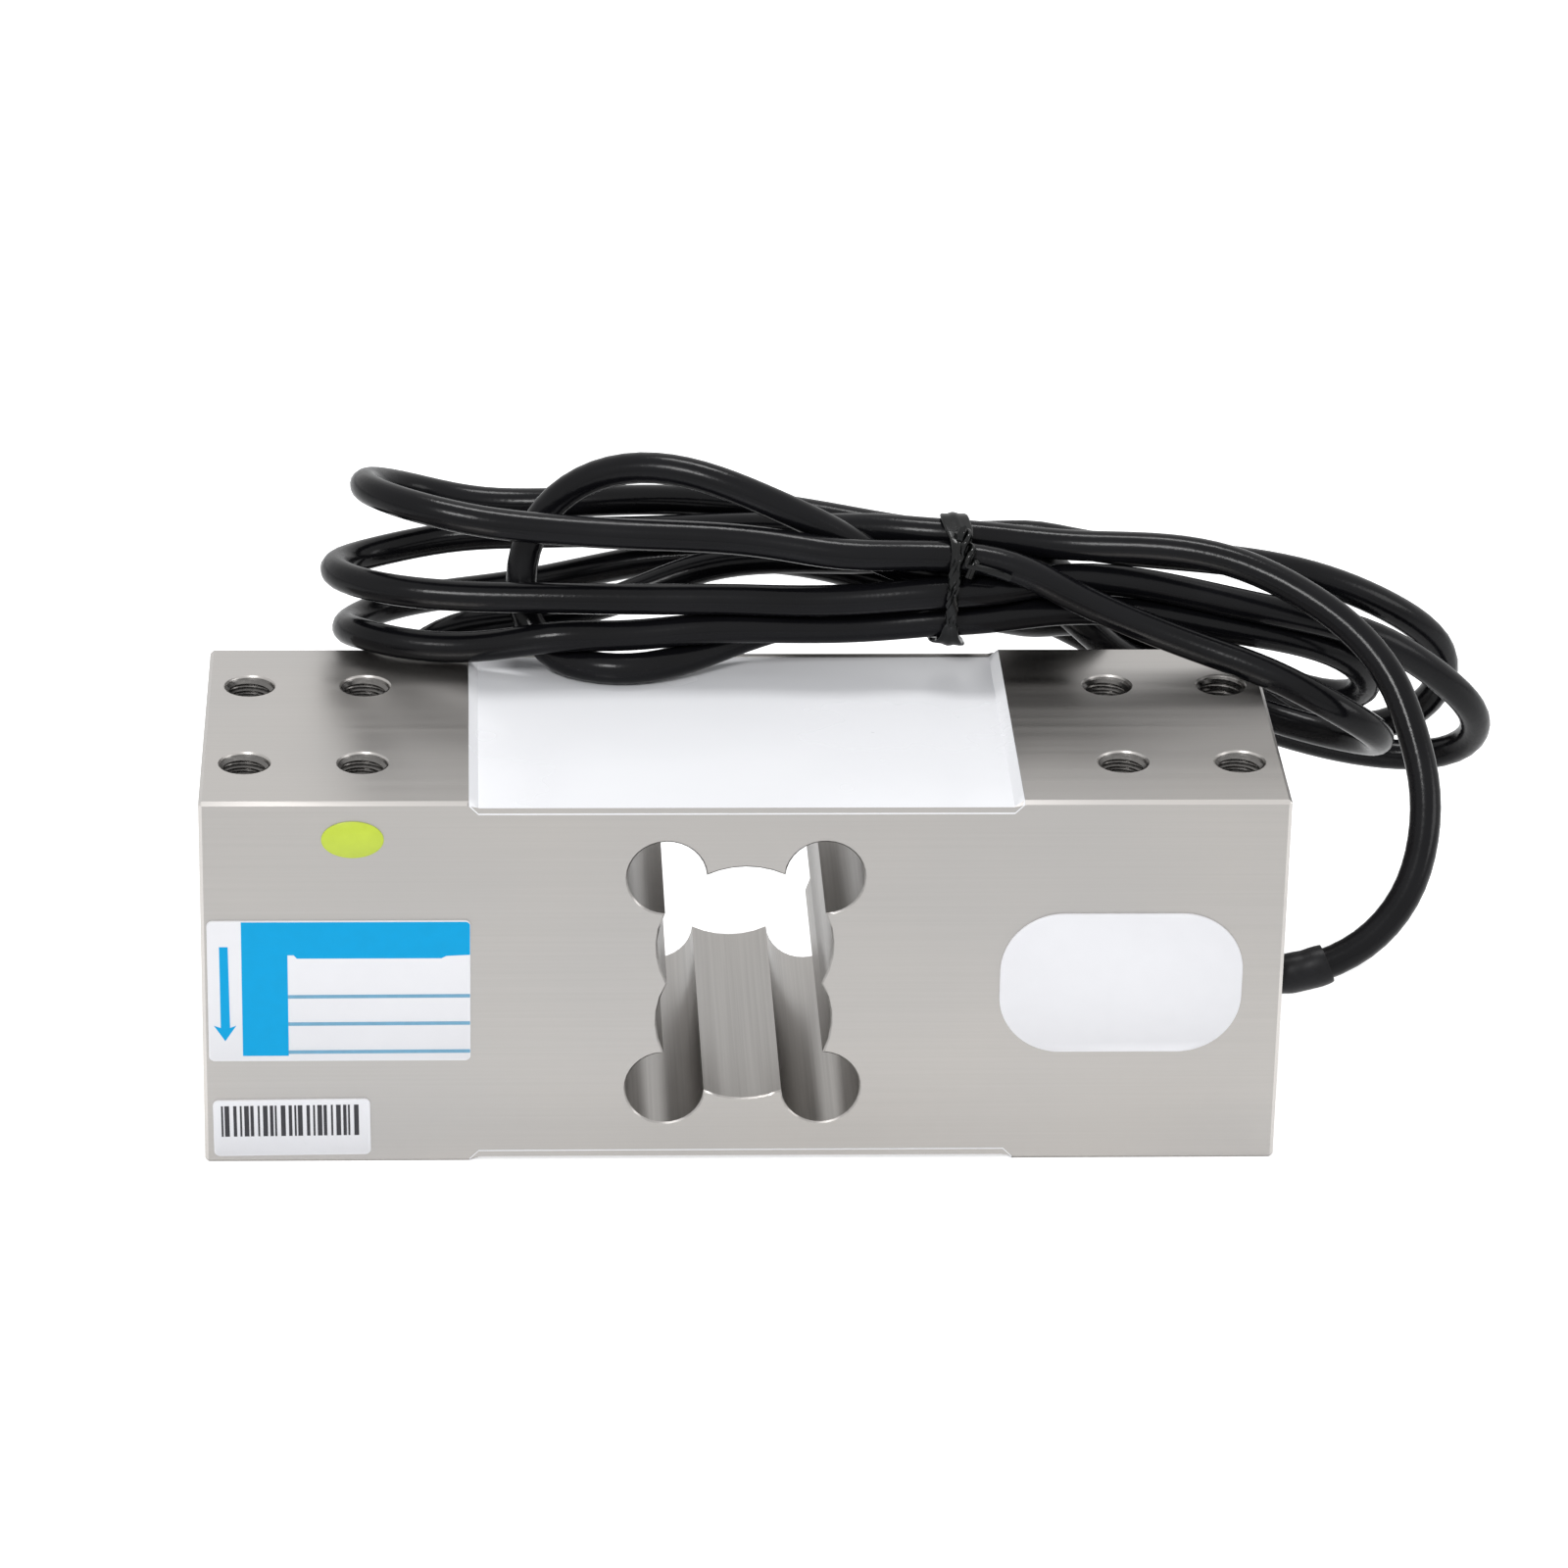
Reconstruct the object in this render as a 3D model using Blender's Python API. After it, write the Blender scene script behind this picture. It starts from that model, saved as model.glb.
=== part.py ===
"""Single point load cell.

A machined aluminium spring body with a lobed cut-out, a shallow recess above
and below it, strain gauges bonded in pockets over its thin sections, and a
wiring pocket at the fixed end. The cable leaves the fixed end through a short
sleeve, bends up and lies on the rear of the body as a hank held by a tie.

The origin is the centre of the base, X runs along the body to the cable end,
Y points to the back and Z up. All sizes are in metres.
"""

from math import atan2, ceil, cos, hypot, pi, radians, sin, sqrt, tan

import bmesh
import bpy
import numpy as np
from mathutils import Matrix, Vector

# Spring body
BODY_LENGTH = 0.175
BODY_WIDTH = 0.060
BODY_HEIGHT = 0.065
EDGE_BREAK = 0.0006
PAD_LENGTH = 0.043
RECESS_DEPTH = 0.0016
CLEARANCE = 0.0003

# Cut-out: two main bores, one above the other, with a smaller bore at each corner
MAIN_BORE_RADIUS = 0.0142
MAIN_BORE_RISE = 0.00675
CORNER_BORE_RADIUS = 0.0064
CORNER_BORE_REACH = 0.0127
CORNER_BORE_RISE = 0.0190
BORE_EDGE_BREAK = 0.00025

# How finely arcs are drawn, and the angle past which an edge is shaded sharp
ARC_STEP = radians(11)
CORNER_STEP = radians(18)
CHANNEL_STEP = radians(30)
BODY_SHARP = radians(25)
RING_SHARP = radians(30)
CORD_SHARP = radians(50)

# Tapped holes, M8, four on each pad of the top and of the base
TAP_DIAMETER = 0.0080
TAP_DEPTH = 0.017
TAP_MOUTH = 0.0003
TAP_TO_END = 0.007
TAP_PITCH = 0.019
TAP_SPREAD = 0.030
DRILL_POINT = radians(59)
DRILL_TIP_RADIUS = 0.0002
HOLE_SIDES = 24

# Gauge pockets, one in each recess
GAUGE_POCKET_LENGTH = 0.046
GAUGE_POCKET_WIDTH = 0.026
GAUGE_POCKET_RADIUS = 0.003
GAUGE_POCKET_DEPTH = 0.0019

# Strain gauges and what lies over them
GAUGE_LENGTH = 0.0110
GAUGE_WIDTH = 0.0085
GAUGE_THICKNESS = 0.0002
GAUGE_CORNER = 0.0005
TERMINAL_LENGTH = 0.006
TERMINAL_WIDTH = 0.011
TERMINAL_THICKNESS = 0.0005
SEALANT_THICKNESS = 0.0004
COVER_THICKNESS = 0.0004
COVER_SIDE_MARGIN = 0.0008

# Wiring pocket in the front face, at the fixed end
POCKET_LENGTH = 0.0350
POCKET_HEIGHT = 0.0206
POCKET_RADIUS = 0.0080
POCKET_DEPTH = 0.014
POCKET_TO_END = 0.0264
POCKET_LABEL_LAP = 0.0022
PASSAGE_RADIUS = 0.0020
PASSAGE_SIDES = 12
PASSAGE_FROM_PAD = 0.0050
PASSAGE_FROM_GAUGE_SIDE = 0.0030
PASSAGE_FROM_POCKET_END = 0.0034
PASSAGE_OVER_FLOOR = 0.0050
PASSAGE_INSIDE_POCKET = 0.002
CHANNEL_EXTRA_DEPTH = 0.0002

# Board and its resistors on the floor of the wiring pocket
BOARD_LENGTH = 0.020
BOARD_HEIGHT = 0.012
BOARD_THICKNESS = 0.0010
BOARD_SHIFT = -0.004
RESISTOR_LENGTH = 0.0032
RESISTOR_HEIGHT = 0.0016
RESISTOR_THICKNESS = 0.0006
RESISTOR_CORNER = 0.0002
RESISTOR_PITCH = 0.0034
RESISTOR_COUNT = 3
WIRE_PAD_TO_EDGE = 0.0015
WIRE_PAD_SHIFT = -0.0050
CORE_PAD_SHIFT = 0.0076
CORE_PAD_PITCH = 0.0030
CORE_ON_PAD = 0.0030

# Cable, its hole in the end face and what fits round it there
CABLE_DIAMETER = 0.0052
CABLE_HOLE_RADIUS = 0.0038
CABLE_FROM_FACE = 0.006
CABLE_BELOW_MIDDLE = 0.0018
SLEEVE_DIAMETER = 0.0066
SLEEVE_INSIDE = 0.0085
JACKET_IN_POCKET = 0.0050
CORE_DIAMETER = 0.0012
CORE_SPREAD = 0.00085

# How the cores fan out: shares of their way along X, into the depth and up or down
CORE_FAN = ((0.12, 0.0, 0.0), (0.40, 0.12, 0.35), (0.70, 0.60, 0.80), (1.0, 1.0, 1.0))
CORE_COLOURS = {
    "red": (0.50, 0.03, 0.03),
    "black": (0.02, 0.02, 0.02),
    "green": (0.03, 0.30, 0.08),
    "white": (0.80, 0.80, 0.78),
}
FERRULE_LENGTH = 0.0025
FERRULE_THICKNESS = 0.0011
POTTING_THICKNESS = 0.0010
WIRE_BUNDLE_DIAMETER = 0.0006
WIRE_POINT_SPACING = 0.0015

# How the bridge wires swing from the terminals to the channel, as shares along X and Y,
# and how far down the passage they are held
WIRE_START = 0.40
WIRE_SWING = ((0.0, 0.0), (0.10, 0.43), (0.31, 0.93), (0.63, 1.0), (1.0, 1.0))
WIRE_IN_PASSAGE = (0.09, 0.20, 0.50, 0.92)

# Labels
LABEL_THICKNESS = 0.0002
RATING_LABEL_LENGTH = 0.0423
RATING_LABEL_HEIGHT = 0.0252
RATING_LABEL_TO_END = 0.0010
RATING_LABEL_RISE = 0.0189
BARCODE_LABEL_LENGTH = 0.0255
BARCODE_LABEL_HEIGHT = 0.0101
BARCODE_LABEL_TO_END = 0.0015
BARCODE_LABEL_RISE = 0.0016
BARCODE_LABEL_TILT = radians(0.6)
LABEL_RADIUS = 0.0008
OVAL_LENGTH = 0.0100
OVAL_HEIGHT = 0.0064
OVAL_SIDES = 40
OVAL_FROM_END = 0.0245
OVAL_FROM_TOP = 0.0065

# Places worked out from the sizes above
END_X = BODY_LENGTH / 2
FRONT_Y = -BODY_WIDTH / 2
MIDDLE_Z = BODY_HEIGHT / 2
TOP_FLOOR_Z = BODY_HEIGHT - RECESS_DEPTH
RECESS_HALF = END_X - PAD_LENGTH
POCKET_X = END_X - POCKET_TO_END
POCKET_FLOOR_Y = FRONT_Y + POCKET_DEPTH
PASSAGE_START = (RECESS_HALF - PASSAGE_FROM_PAD, PASSAGE_FROM_GAUGE_SIDE - GAUGE_POCKET_WIDTH / 2)
PASSAGE_END = (
    POCKET_X - POCKET_LENGTH / 2 + PASSAGE_FROM_POCKET_END,
    POCKET_FLOOR_Y - PASSAGE_OVER_FLOOR,
)
CABLE_Y = FRONT_Y + CABLE_FROM_FACE
CABLE_Z = MIDDLE_Z - CABLE_BELOW_MIDDLE
BOARD_X = POCKET_X + BOARD_SHIFT
BOARD_FRONT_Y = POCKET_FLOOR_Y - CLEARANCE - BOARD_THICKNESS

# The cable's centre line, measured from where its hole's axis meets the end face
CABLE_ROUTE = (
    (-0.0085, 0.0000, 0.0000),
    (-0.0040, 0.0000, 0.0000),
    (0.0000, 0.0000, 0.0001),
    (0.0035, 0.0001, 0.0008),
    (0.0085, 0.0006, 0.0031),
    (0.0150, 0.0026, 0.0071),
    (0.0208, 0.0068, 0.0127),
    (0.0238, 0.0120, 0.0192),
    (0.0244, 0.0180, 0.0259),
    (0.0232, 0.0238, 0.0325),
    (0.0203, 0.0294, 0.0388),
    (0.0155, 0.0343, 0.0439),
    (0.0090, 0.0387, 0.0477),
    (0.0020, 0.0425, 0.0506),
    (-0.0010, 0.0439, 0.0515),
)
SLEEVE_LENGTH = 0.0167
LEAD_POINT_SPACING = CABLE_DIAMETER
SAMPLES_PER_KNOT = 40

# The hank's outer shape: X from the end face, then the middle of its section
# from the rear top edge in Y and Z, and half its size in Y and Z
HANK_SECTIONS = (
    (-0.1575, 0.0100, 0.0135, 0.0040, 0.0040),
    (-0.1545, 0.0100, 0.0140, 0.0110, 0.0095),
    (-0.1455, 0.0100, 0.0150, 0.0170, 0.0142),
    (-0.1305, 0.0092, 0.0152, 0.0178, 0.0144),
    (-0.1155, 0.0070, 0.0160, 0.0180, 0.0152),
    (-0.1005, 0.0050, 0.0178, 0.0172, 0.0172),
    (-0.0855, 0.0030, 0.0170, 0.0142, 0.0155),
    (-0.0705, 0.0005, 0.0146, 0.0115, 0.0118),
    (-0.0565, -0.0015, 0.0135, 0.0096, 0.0096),
    (-0.0445, -0.0015, 0.0133, 0.0096, 0.0096),
    (-0.0295, -0.0008, 0.0125, 0.0120, 0.0105),
    (-0.0145, 0.0014, 0.0107, 0.0165, 0.0102),
    (0.0007, 0.0034, 0.0080, 0.0195, 0.0076),
    (0.0040, 0.0026, -0.0030, 0.0220, 0.0168),
    (0.0135, 0.0024, -0.0075, 0.0220, 0.0199),
    (0.0210, 0.0046, -0.0100, 0.0198, 0.0192),
    (0.0285, 0.0080, -0.0122, 0.0160, 0.0176),
    (0.0360, 0.0086, -0.0150, 0.0118, 0.0134),
    (0.0415, 0.0086, -0.0160, 0.0062, 0.0070),
    (0.0433, 0.0086, -0.0162, 0.0026, 0.0030),
)
HANK_SIDES = 20
TIE_FROM_END = -0.0505
TIE_WIRE_RADIUS = 0.0009
TIE_WIRE_SIDES = 8
TIE_SIDES = 32


def clear_scene():
    for obj in list(bpy.data.objects):
        bpy.data.objects.remove(obj, do_unlink=True)


def material(name, colour, roughness, metallic=0.0):
    made = bpy.data.materials.new(name)
    made.use_nodes = True
    shader = made.node_tree.nodes["Principled BSDF"]
    shader.inputs["Base Color"].default_value = (*colour, 1)
    shader.inputs["Roughness"].default_value = roughness
    shader.inputs["Metallic"].default_value = metallic
    made.diffuse_color = (*colour, 1)
    return made


def add_object(name, bm, look=None, smooth_angle=None):
    """Turns bm into a mesh object; a look makes it a piece, and none makes it a cutter."""
    bmesh.ops.recalc_face_normals(bm, faces=bm.faces)
    mesh = bpy.data.meshes.new(name)
    bm.to_mesh(mesh)
    bm.free()
    obj = bpy.data.objects.new(name, mesh)
    bpy.context.scene.collection.objects.link(obj)
    if look is None:
        obj.hide_render = True
        obj.display_type = "WIRE"
    else:
        mesh.materials.append(look)
    if smooth_angle is not None:
        mesh.shade_smooth()
        mesh.set_sharp_from_angle(angle=smooth_angle)
    return obj


def cut(obj, cutter):
    modifier = obj.modifiers.new(cutter.name, "BOOLEAN")
    modifier.operation = "DIFFERENCE"
    modifier.object = cutter


def loft(bm, rings):
    """Joins closed rings of equally many points into one closed solid."""
    rows = [[bm.verts.new(point) for point in ring] for ring in rings]
    count = len(rows[0])
    for lower, upper in zip(rows, rows[1:]):
        for i in range(count):
            j = (i + 1) % count
            bm.faces.new((lower[i], lower[j], upper[j], upper[i]))
    bm.faces.new(reversed(rows[0]))
    bm.faces.new(rows[-1])
    return rows


def upright(outline, y):
    """A flat outline of X and Z points, stood up at depth y."""
    return [(x, y, z) for x, z in outline]


def flat(outline, z):
    """A flat outline of X and Y points, laid at height z."""
    return [(x, y, z) for x, y in outline]


def arc(centre, radius, start, end, step=ARC_STEP):
    """Points of an arc from start to end, both included."""
    count = max(2, ceil(abs(end - start) / step))
    return [
        (
            centre[0] + radius * cos(start + (end - start) * i / count),
            centre[1] + radius * sin(start + (end - start) * i / count),
        )
        for i in range(count + 1)
    ]


def rounded_rectangle(centre, length, height, radius, tilt=0.0):
    """An outline with four round corners, counterclockwise."""
    points = []
    for turn, (side_x, side_y) in enumerate(((1, 1), (-1, 1), (-1, -1), (1, -1))):
        corner = (side_x * (length / 2 - radius), side_y * (height / 2 - radius))
        points += arc(corner, radius, turn * pi / 2, (turn + 1) * pi / 2, CORNER_STEP)
    c, s = cos(tilt), sin(tilt)
    return [(centre[0] + c * x - s * y, centre[1] + s * x + c * y) for x, y in points]


def ellipse(centre, length, height, sides):
    return [
        (
            centre[0] + length / 2 * cos(2 * pi * i / sides),
            centre[1] + height / 2 * sin(2 * pi * i / sides),
        )
        for i in range(sides)
    ]


def revolve(bm, profile, place, sides=HOLE_SIDES):
    """Turns radius and height pairs round Z into a closed solid, then moves it by place."""
    rings = [
        [
            place @ Vector((radius * cos(2 * pi * i / sides), radius * sin(2 * pi * i / sides), z))
            for i in range(sides)
        ]
        for radius, z in profile
    ]
    loft(bm, rings)


def circle_crossing(first, first_radius, second, second_radius, side):
    """Where two circles cross, on the given side of the line from first to second."""
    dx, dz = second[0] - first[0], second[1] - first[1]
    apart = hypot(dx, dz)
    along = (first_radius**2 - second_radius**2 + apart**2) / (2 * apart)
    across = side * sqrt(first_radius**2 - along**2)
    return (
        first[0] + (along * dx - across * dz) / apart,
        first[1] + (along * dz + across * dx) / apart,
    )


def cutout_outline(grow=0.0):
    """The lobed outline about the middle of the front face, with every bore larger by grow."""
    main_radius, corner_radius = MAIN_BORE_RADIUS + grow, CORNER_BORE_RADIUS + grow
    main, corner = (0.0, MAIN_BORE_RISE), (CORNER_BORE_REACH, CORNER_BORE_RISE)
    waist = (sqrt(main_radius**2 - MAIN_BORE_RISE**2), 0.0)
    low = circle_crossing(main, main_radius, corner, corner_radius, -1)
    high = circle_crossing(main, main_radius, corner, corner_radius, 1)

    def angle(centre, point):
        return atan2(point[1] - centre[1], point[0] - centre[0])

    corner_start, corner_end = angle(corner, low), angle(corner, high)
    quarter = arc(main, main_radius, angle(main, waist), angle(main, low))
    quarter += arc(corner, corner_radius, corner_start, corner_end % (2 * pi))[1:]
    quarter += arc(main, main_radius, angle(main, high), pi / 2)[1:]
    left = [(-x, z) for x, z in reversed(quarter[1:-1])]
    upper = quarter + left
    lower = [(-x, -z) for x, z in upper]
    outline = upper + [(-waist[0], 0.0)] + lower[1:]
    return [(x, MIDDLE_Z + z) for x, z in outline]


def body_outline():
    """The side profile: a rectangle with a recess with 45 degree ends above and below."""
    upper = [
        (END_X, BODY_HEIGHT),
        (RECESS_HALF, BODY_HEIGHT),
        (RECESS_HALF - RECESS_DEPTH, TOP_FLOOR_Z),
        (-RECESS_HALF + RECESS_DEPTH, TOP_FLOOR_Z),
        (-RECESS_HALF, BODY_HEIGHT),
        (-END_X, BODY_HEIGHT),
    ]
    return upper + [(x, BODY_HEIGHT - z) for x, z in reversed(upper)]


def body_blank():
    """The profile cut from bar, with its outer edges broken."""
    bm = bmesh.new()
    outline = body_outline()
    front, back = loft(bm, [upright(outline, FRONT_Y), upright(outline, -FRONT_Y)])

    def outer(edge):
        a, b = (vertex.co for vertex in edge.verts)
        on_face = abs(a.y - b.y) < CLEARANCE
        return on_face or abs(abs(a.x) - END_X) < CLEARANCE

    edges = [edge for edge in bm.edges if outer(edge)]
    bmesh.ops.bevel(bm, geom=edges, offset=EDGE_BREAK, segments=1, affect="EDGES")
    return bm


def cutout_cutter():
    bm = bmesh.new()
    past = 0.002
    plain, wide = cutout_outline(), cutout_outline(BORE_EDGE_BREAK)
    loft(
        bm,
        [
            upright(wide, FRONT_Y - past),
            upright(wide, FRONT_Y),
            upright(plain, FRONT_Y + BORE_EDGE_BREAK),
            upright(plain, -FRONT_Y - BORE_EDGE_BREAK),
            upright(wide, -FRONT_Y),
            upright(wide, -FRONT_Y + past),
        ],
    )
    return add_object("cutter_cutout", bm)


def tap_places():
    """The X and Y of the eight holes of one face."""
    first = END_X - TAP_TO_END
    return [
        (end * (first - row * TAP_PITCH), side * TAP_SPREAD / 2)
        for end in (-1, 1)
        for row in (0, 1)
        for side in (-1, 1)
    ]


def tap_cutter():
    """All blind holes: a broken mouth, a straight wall and the drill's point."""
    radius, past = TAP_DIAMETER / 2, 0.001
    profile = (
        (radius + TAP_MOUTH + past, past),
        (radius, -TAP_MOUTH),
        (radius, -TAP_DEPTH),
        (DRILL_TIP_RADIUS, -TAP_DEPTH - radius / tan(DRILL_POINT)),
    )
    bm = bmesh.new()
    for x, y in tap_places():
        revolve(bm, profile, Matrix.Translation((x, y, BODY_HEIGHT)))
        revolve(bm, profile, Matrix.Translation((x, y, 0)) @ Matrix.Rotation(pi, 4, "X"))
    return add_object("cutter_tapped_holes", bm)


def gauge_pocket_outline(inset=0.0):
    return rounded_rectangle(
        (0, 0),
        GAUGE_POCKET_LENGTH - 2 * inset,
        GAUGE_POCKET_WIDTH - 2 * inset,
        GAUGE_POCKET_RADIUS - inset,
    )


def gauge_pocket_cutter():
    bm = bmesh.new()
    past = 0.001
    floor = TOP_FLOOR_Z - GAUGE_POCKET_DEPTH
    outline = gauge_pocket_outline()
    loft(bm, [flat(outline, floor), flat(outline, TOP_FLOOR_Z + past)])
    loft(bm, [flat(outline, RECESS_DEPTH - past), flat(outline, BODY_HEIGHT - floor)])
    return add_object("cutter_gauge_pockets", bm)


def wiring_pocket_cutter():
    bm = bmesh.new()
    past = 0.002
    outline = rounded_rectangle((POCKET_X, MIDDLE_Z), POCKET_LENGTH, POCKET_HEIGHT, POCKET_RADIUS)
    loft(bm, [upright(outline, FRONT_Y - past), upright(outline, POCKET_FLOOR_Y)])
    return add_object("cutter_wiring_pocket", bm)


def tube_between(bm, start, end, radius, sides):
    direction = Vector(end) - Vector(start)
    turn = direction.to_track_quat("Z", "Y").to_matrix().to_4x4()
    profile = ((radius, 0.0), (radius, direction.length))
    revolve(bm, profile, Matrix.Translation(start) @ turn, sides)


def passage_ends(upper):
    """Start in the recess floor and end inside the wiring pocket of a slanted wire passage."""
    rise = POCKET_HEIGHT / 2 - PASSAGE_INSIDE_POCKET
    start = Vector((*PASSAGE_START, TOP_FLOOR_Z))
    end = Vector((*PASSAGE_END, MIDDLE_Z + rise))
    if not upper:
        start.z = BODY_HEIGHT - start.z
        end.z = BODY_HEIGHT - end.z
    return start, end


def passage_cutter():
    """Two slanted wire passages, each from a recess into the wiring pocket."""
    bm = bmesh.new()
    past = 0.002
    for upper in (True, False):
        start, end = passage_ends(upper)
        along = (end - start).normalized()
        tube_between(bm, start - along * past, end, PASSAGE_RADIUS, PASSAGE_SIDES)
    return add_object("cutter_wire_passages", bm)


def channel_cutter():
    """The channels in which the bridge wires run from the gauge pockets to the passages."""
    bm = bmesh.new()
    past = 0.001
    start = (GAUGE_POCKET_LENGTH / 2, PASSAGE_START[1])
    outline = arc(PASSAGE_START, PASSAGE_RADIUS, -pi / 2, pi / 2, CHANNEL_STEP)
    outline += arc(start, PASSAGE_RADIUS, pi / 2, 3 * pi / 2, CHANNEL_STEP)
    floor = TOP_FLOOR_Z - GAUGE_POCKET_DEPTH - CHANNEL_EXTRA_DEPTH
    loft(bm, [flat(outline, floor), flat(outline, TOP_FLOOR_Z + past)])
    loft(bm, [flat(outline, RECESS_DEPTH - past), flat(outline, BODY_HEIGHT - floor)])
    return add_object("cutter_wire_channels", bm)


def cable_hole_cutter():
    bm = bmesh.new()
    past = 0.003
    inner = POCKET_X + POCKET_LENGTH / 2 - past
    tube_between(
        bm,
        (inner, CABLE_Y, CABLE_Z),
        (END_X + past, CABLE_Y, CABLE_Z),
        CABLE_HOLE_RADIUS,
        HOLE_SIDES,
    )
    return add_object("cutter_cable_hole", bm)


def make_spring_body(look):
    body = add_object("spring_body", body_blank(), look, BODY_SHARP)
    for cutter in (
        cutout_cutter(),
        gauge_pocket_cutter(),
        wiring_pocket_cutter(),
        tap_cutter(),
        channel_cutter(),
        passage_cutter(),
        cable_hole_cutter(),
    ):
        cut(body, cutter)
    return body


def plate(name, outline, start, end, look, standing=False):
    """A flat piece of even thickness, lying between two heights or standing between two depths."""
    bm = bmesh.new()
    place = upright if standing else flat
    loft(bm, [place(outline, start), place(outline, end)])
    return add_object(name, bm, look)


def mirrored_height(z, upper):
    """A height in the top recess, or the one that matches it in the base recess."""
    return z if upper else BODY_HEIGHT - z


def make_gauge_set(side, upper, looks):
    """The gauges, terminals, sealant and cover of one recess."""
    floor = TOP_FLOOR_Z - GAUGE_POCKET_DEPTH

    def layer(name, outline, rise, thickness, look):
        low = mirrored_height(floor + rise, upper)
        high = mirrored_height(floor + rise + thickness, upper)
        return plate(name, outline, low, high, look)

    for place, sign in (("left", -1), ("right", 1)):
        outline = rounded_rectangle(
            (sign * CORNER_BORE_REACH, 0), GAUGE_LENGTH, GAUGE_WIDTH, GAUGE_CORNER
        )
        name = f"strain_gauge_{side}_{place}"
        layer(name, outline, CLEARANCE, GAUGE_THICKNESS, looks["gauge"])
    outline = rounded_rectangle((0, 0), TERMINAL_LENGTH, TERMINAL_WIDTH, GAUGE_CORNER)
    layer(f"solder_terminals_{side}", outline, CLEARANCE, TERMINAL_THICKNESS, looks["terminal"])
    sealant_rise = max(TERMINAL_THICKNESS, WIRE_BUNDLE_DIAMETER) + 2 * CLEARANCE
    outline = gauge_pocket_outline(CLEARANCE)
    layer(f"gauge_sealant_{side}", outline, sealant_rise, SEALANT_THICKNESS, looks["sealant"])
    make_gauge_cover(side, upper, looks["cover"])


def cover_line(offset):
    """Half of the recess profile, moved off the metal by offset, from the pad to the middle."""
    slope_end = RECESS_HALF - offset * sqrt(2) - CLEARANCE
    corner = RECESS_HALF - RECESS_DEPTH - offset * tan(pi / 8)
    return [(slope_end, BODY_HEIGHT - CLEARANCE), (corner, TOP_FLOOR_Z + offset)]


def make_gauge_cover(side, upper, look):
    """The white sheet that lines the recess, folded up its sloping ends."""
    inner, outer = cover_line(CLEARANCE), cover_line(CLEARANCE + COVER_THICKNESS)
    half = outer + [(-x, z) for x, z in reversed(outer)]
    half += [(-x, z) for x, z in inner] + list(reversed(inner))
    outline = [(x, mirrored_height(z, upper)) for x, z in half]
    depth = BODY_WIDTH / 2 - COVER_SIDE_MARGIN
    bm = bmesh.new()
    loft(bm, [upright(outline, -depth), upright(outline, depth)])
    return add_object(f"gauge_cover_{side}", bm, look)


def smooth_route(points, spacing):
    """Evenly spaced points on a natural cubic spline through the given points."""
    knots = np.array(points, float)
    steps = np.linalg.norm(np.diff(knots, axis=0), axis=1)
    at = np.concatenate([[0.0], np.cumsum(steps)])
    count = len(knots)
    system, right = np.eye(count), np.zeros_like(knots)
    slopes = np.diff(knots, axis=0) / steps[:, None]
    for i in range(1, count - 1):
        system[i, i - 1 : i + 2] = steps[i - 1], 2 * (steps[i - 1] + steps[i]), steps[i]
        right[i] = 6 * (slopes[i] - slopes[i - 1])
    bend = np.linalg.solve(system, right)
    fine = np.linspace(0, at[-1], SAMPLES_PER_KNOT * count)
    span = np.clip(np.searchsorted(at, fine, side="right") - 1, 0, count - 2)
    width = steps[span][:, None]
    a = (at[span + 1] - fine)[:, None] / width
    b = 1 - a
    curve = a * knots[span] + b * knots[span + 1]
    curve += ((a**3 - a) * bend[span] + (b**3 - b) * bend[span + 1]) * width**2 / 6
    run = np.concatenate([[0.0], np.cumsum(np.linalg.norm(np.diff(curve, axis=0), axis=1))])
    wanted = np.linspace(0, run[-1], max(2, round(run[-1] / spacing) + 1))
    return [[float(np.interp(s, run, curve[:, k])) for k in range(3)] for s in wanted]


def make_cord(name, points, diameter, look, resolution=2):
    """A round cord with flat ends along the given points."""
    curve = bpy.data.curves.new(name, "CURVE")
    curve.dimensions = "3D"
    curve.bevel_depth = diameter / 2
    curve.bevel_resolution = resolution
    curve.use_fill_caps = True
    spline = curve.splines.new("POLY")
    spline.points.add(len(points) - 1)
    for point, place in zip(spline.points, points):
        point.co = (*place, 1)
    spline.use_smooth = True
    curve.materials.append(look)
    obj = bpy.data.objects.new(name, curve)
    bpy.context.scene.collection.objects.link(obj)
    return obj


def make_gauge_wires(side, upper, look):
    """The bridge wires of one recess, from the terminals through the passage to the board."""
    height = TOP_FLOOR_Z - GAUGE_POCKET_DEPTH + CLEARANCE + WIRE_BUNDLE_DIAMETER / 2
    leave_x = TERMINAL_LENGTH / 2 + CLEARANCE + WIRE_BUNDLE_DIAMETER
    leave_y = -WIRE_START * TERMINAL_WIDTH
    run_x, run_y = GAUGE_POCKET_LENGTH / 2, PASSAGE_START[1]
    route = [
        (leave_x + along * (run_x - leave_x), leave_y + across * (run_y - leave_y), height)
        for along, across in WIRE_SWING
    ]
    start, end = passage_ends(True)
    mouth = start.x - PASSAGE_RADIUS - WIRE_BUNDLE_DIAMETER
    route += [((run_x + mouth) / 2, run_y, height), (mouth, run_y, height)]
    route += [tuple(start.lerp(end, share)) for share in WIRE_IN_PASSAGE]
    pad_y = BOARD_FRONT_Y - 2 * CLEARANCE - WIRE_BUNDLE_DIAMETER / 2
    pad_z = MIDDLE_Z + BOARD_HEIGHT / 2 - WIRE_PAD_TO_EDGE
    route.append((BOARD_X + WIRE_PAD_SHIFT, pad_y, pad_z))
    smooth = smooth_route(route, WIRE_POINT_SPACING)
    points = [(x, y, mirrored_height(z, upper)) for x, y, z in smooth]
    return make_cord(f"gauge_wires_{side}", points, WIRE_BUNDLE_DIAMETER, look)


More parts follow.
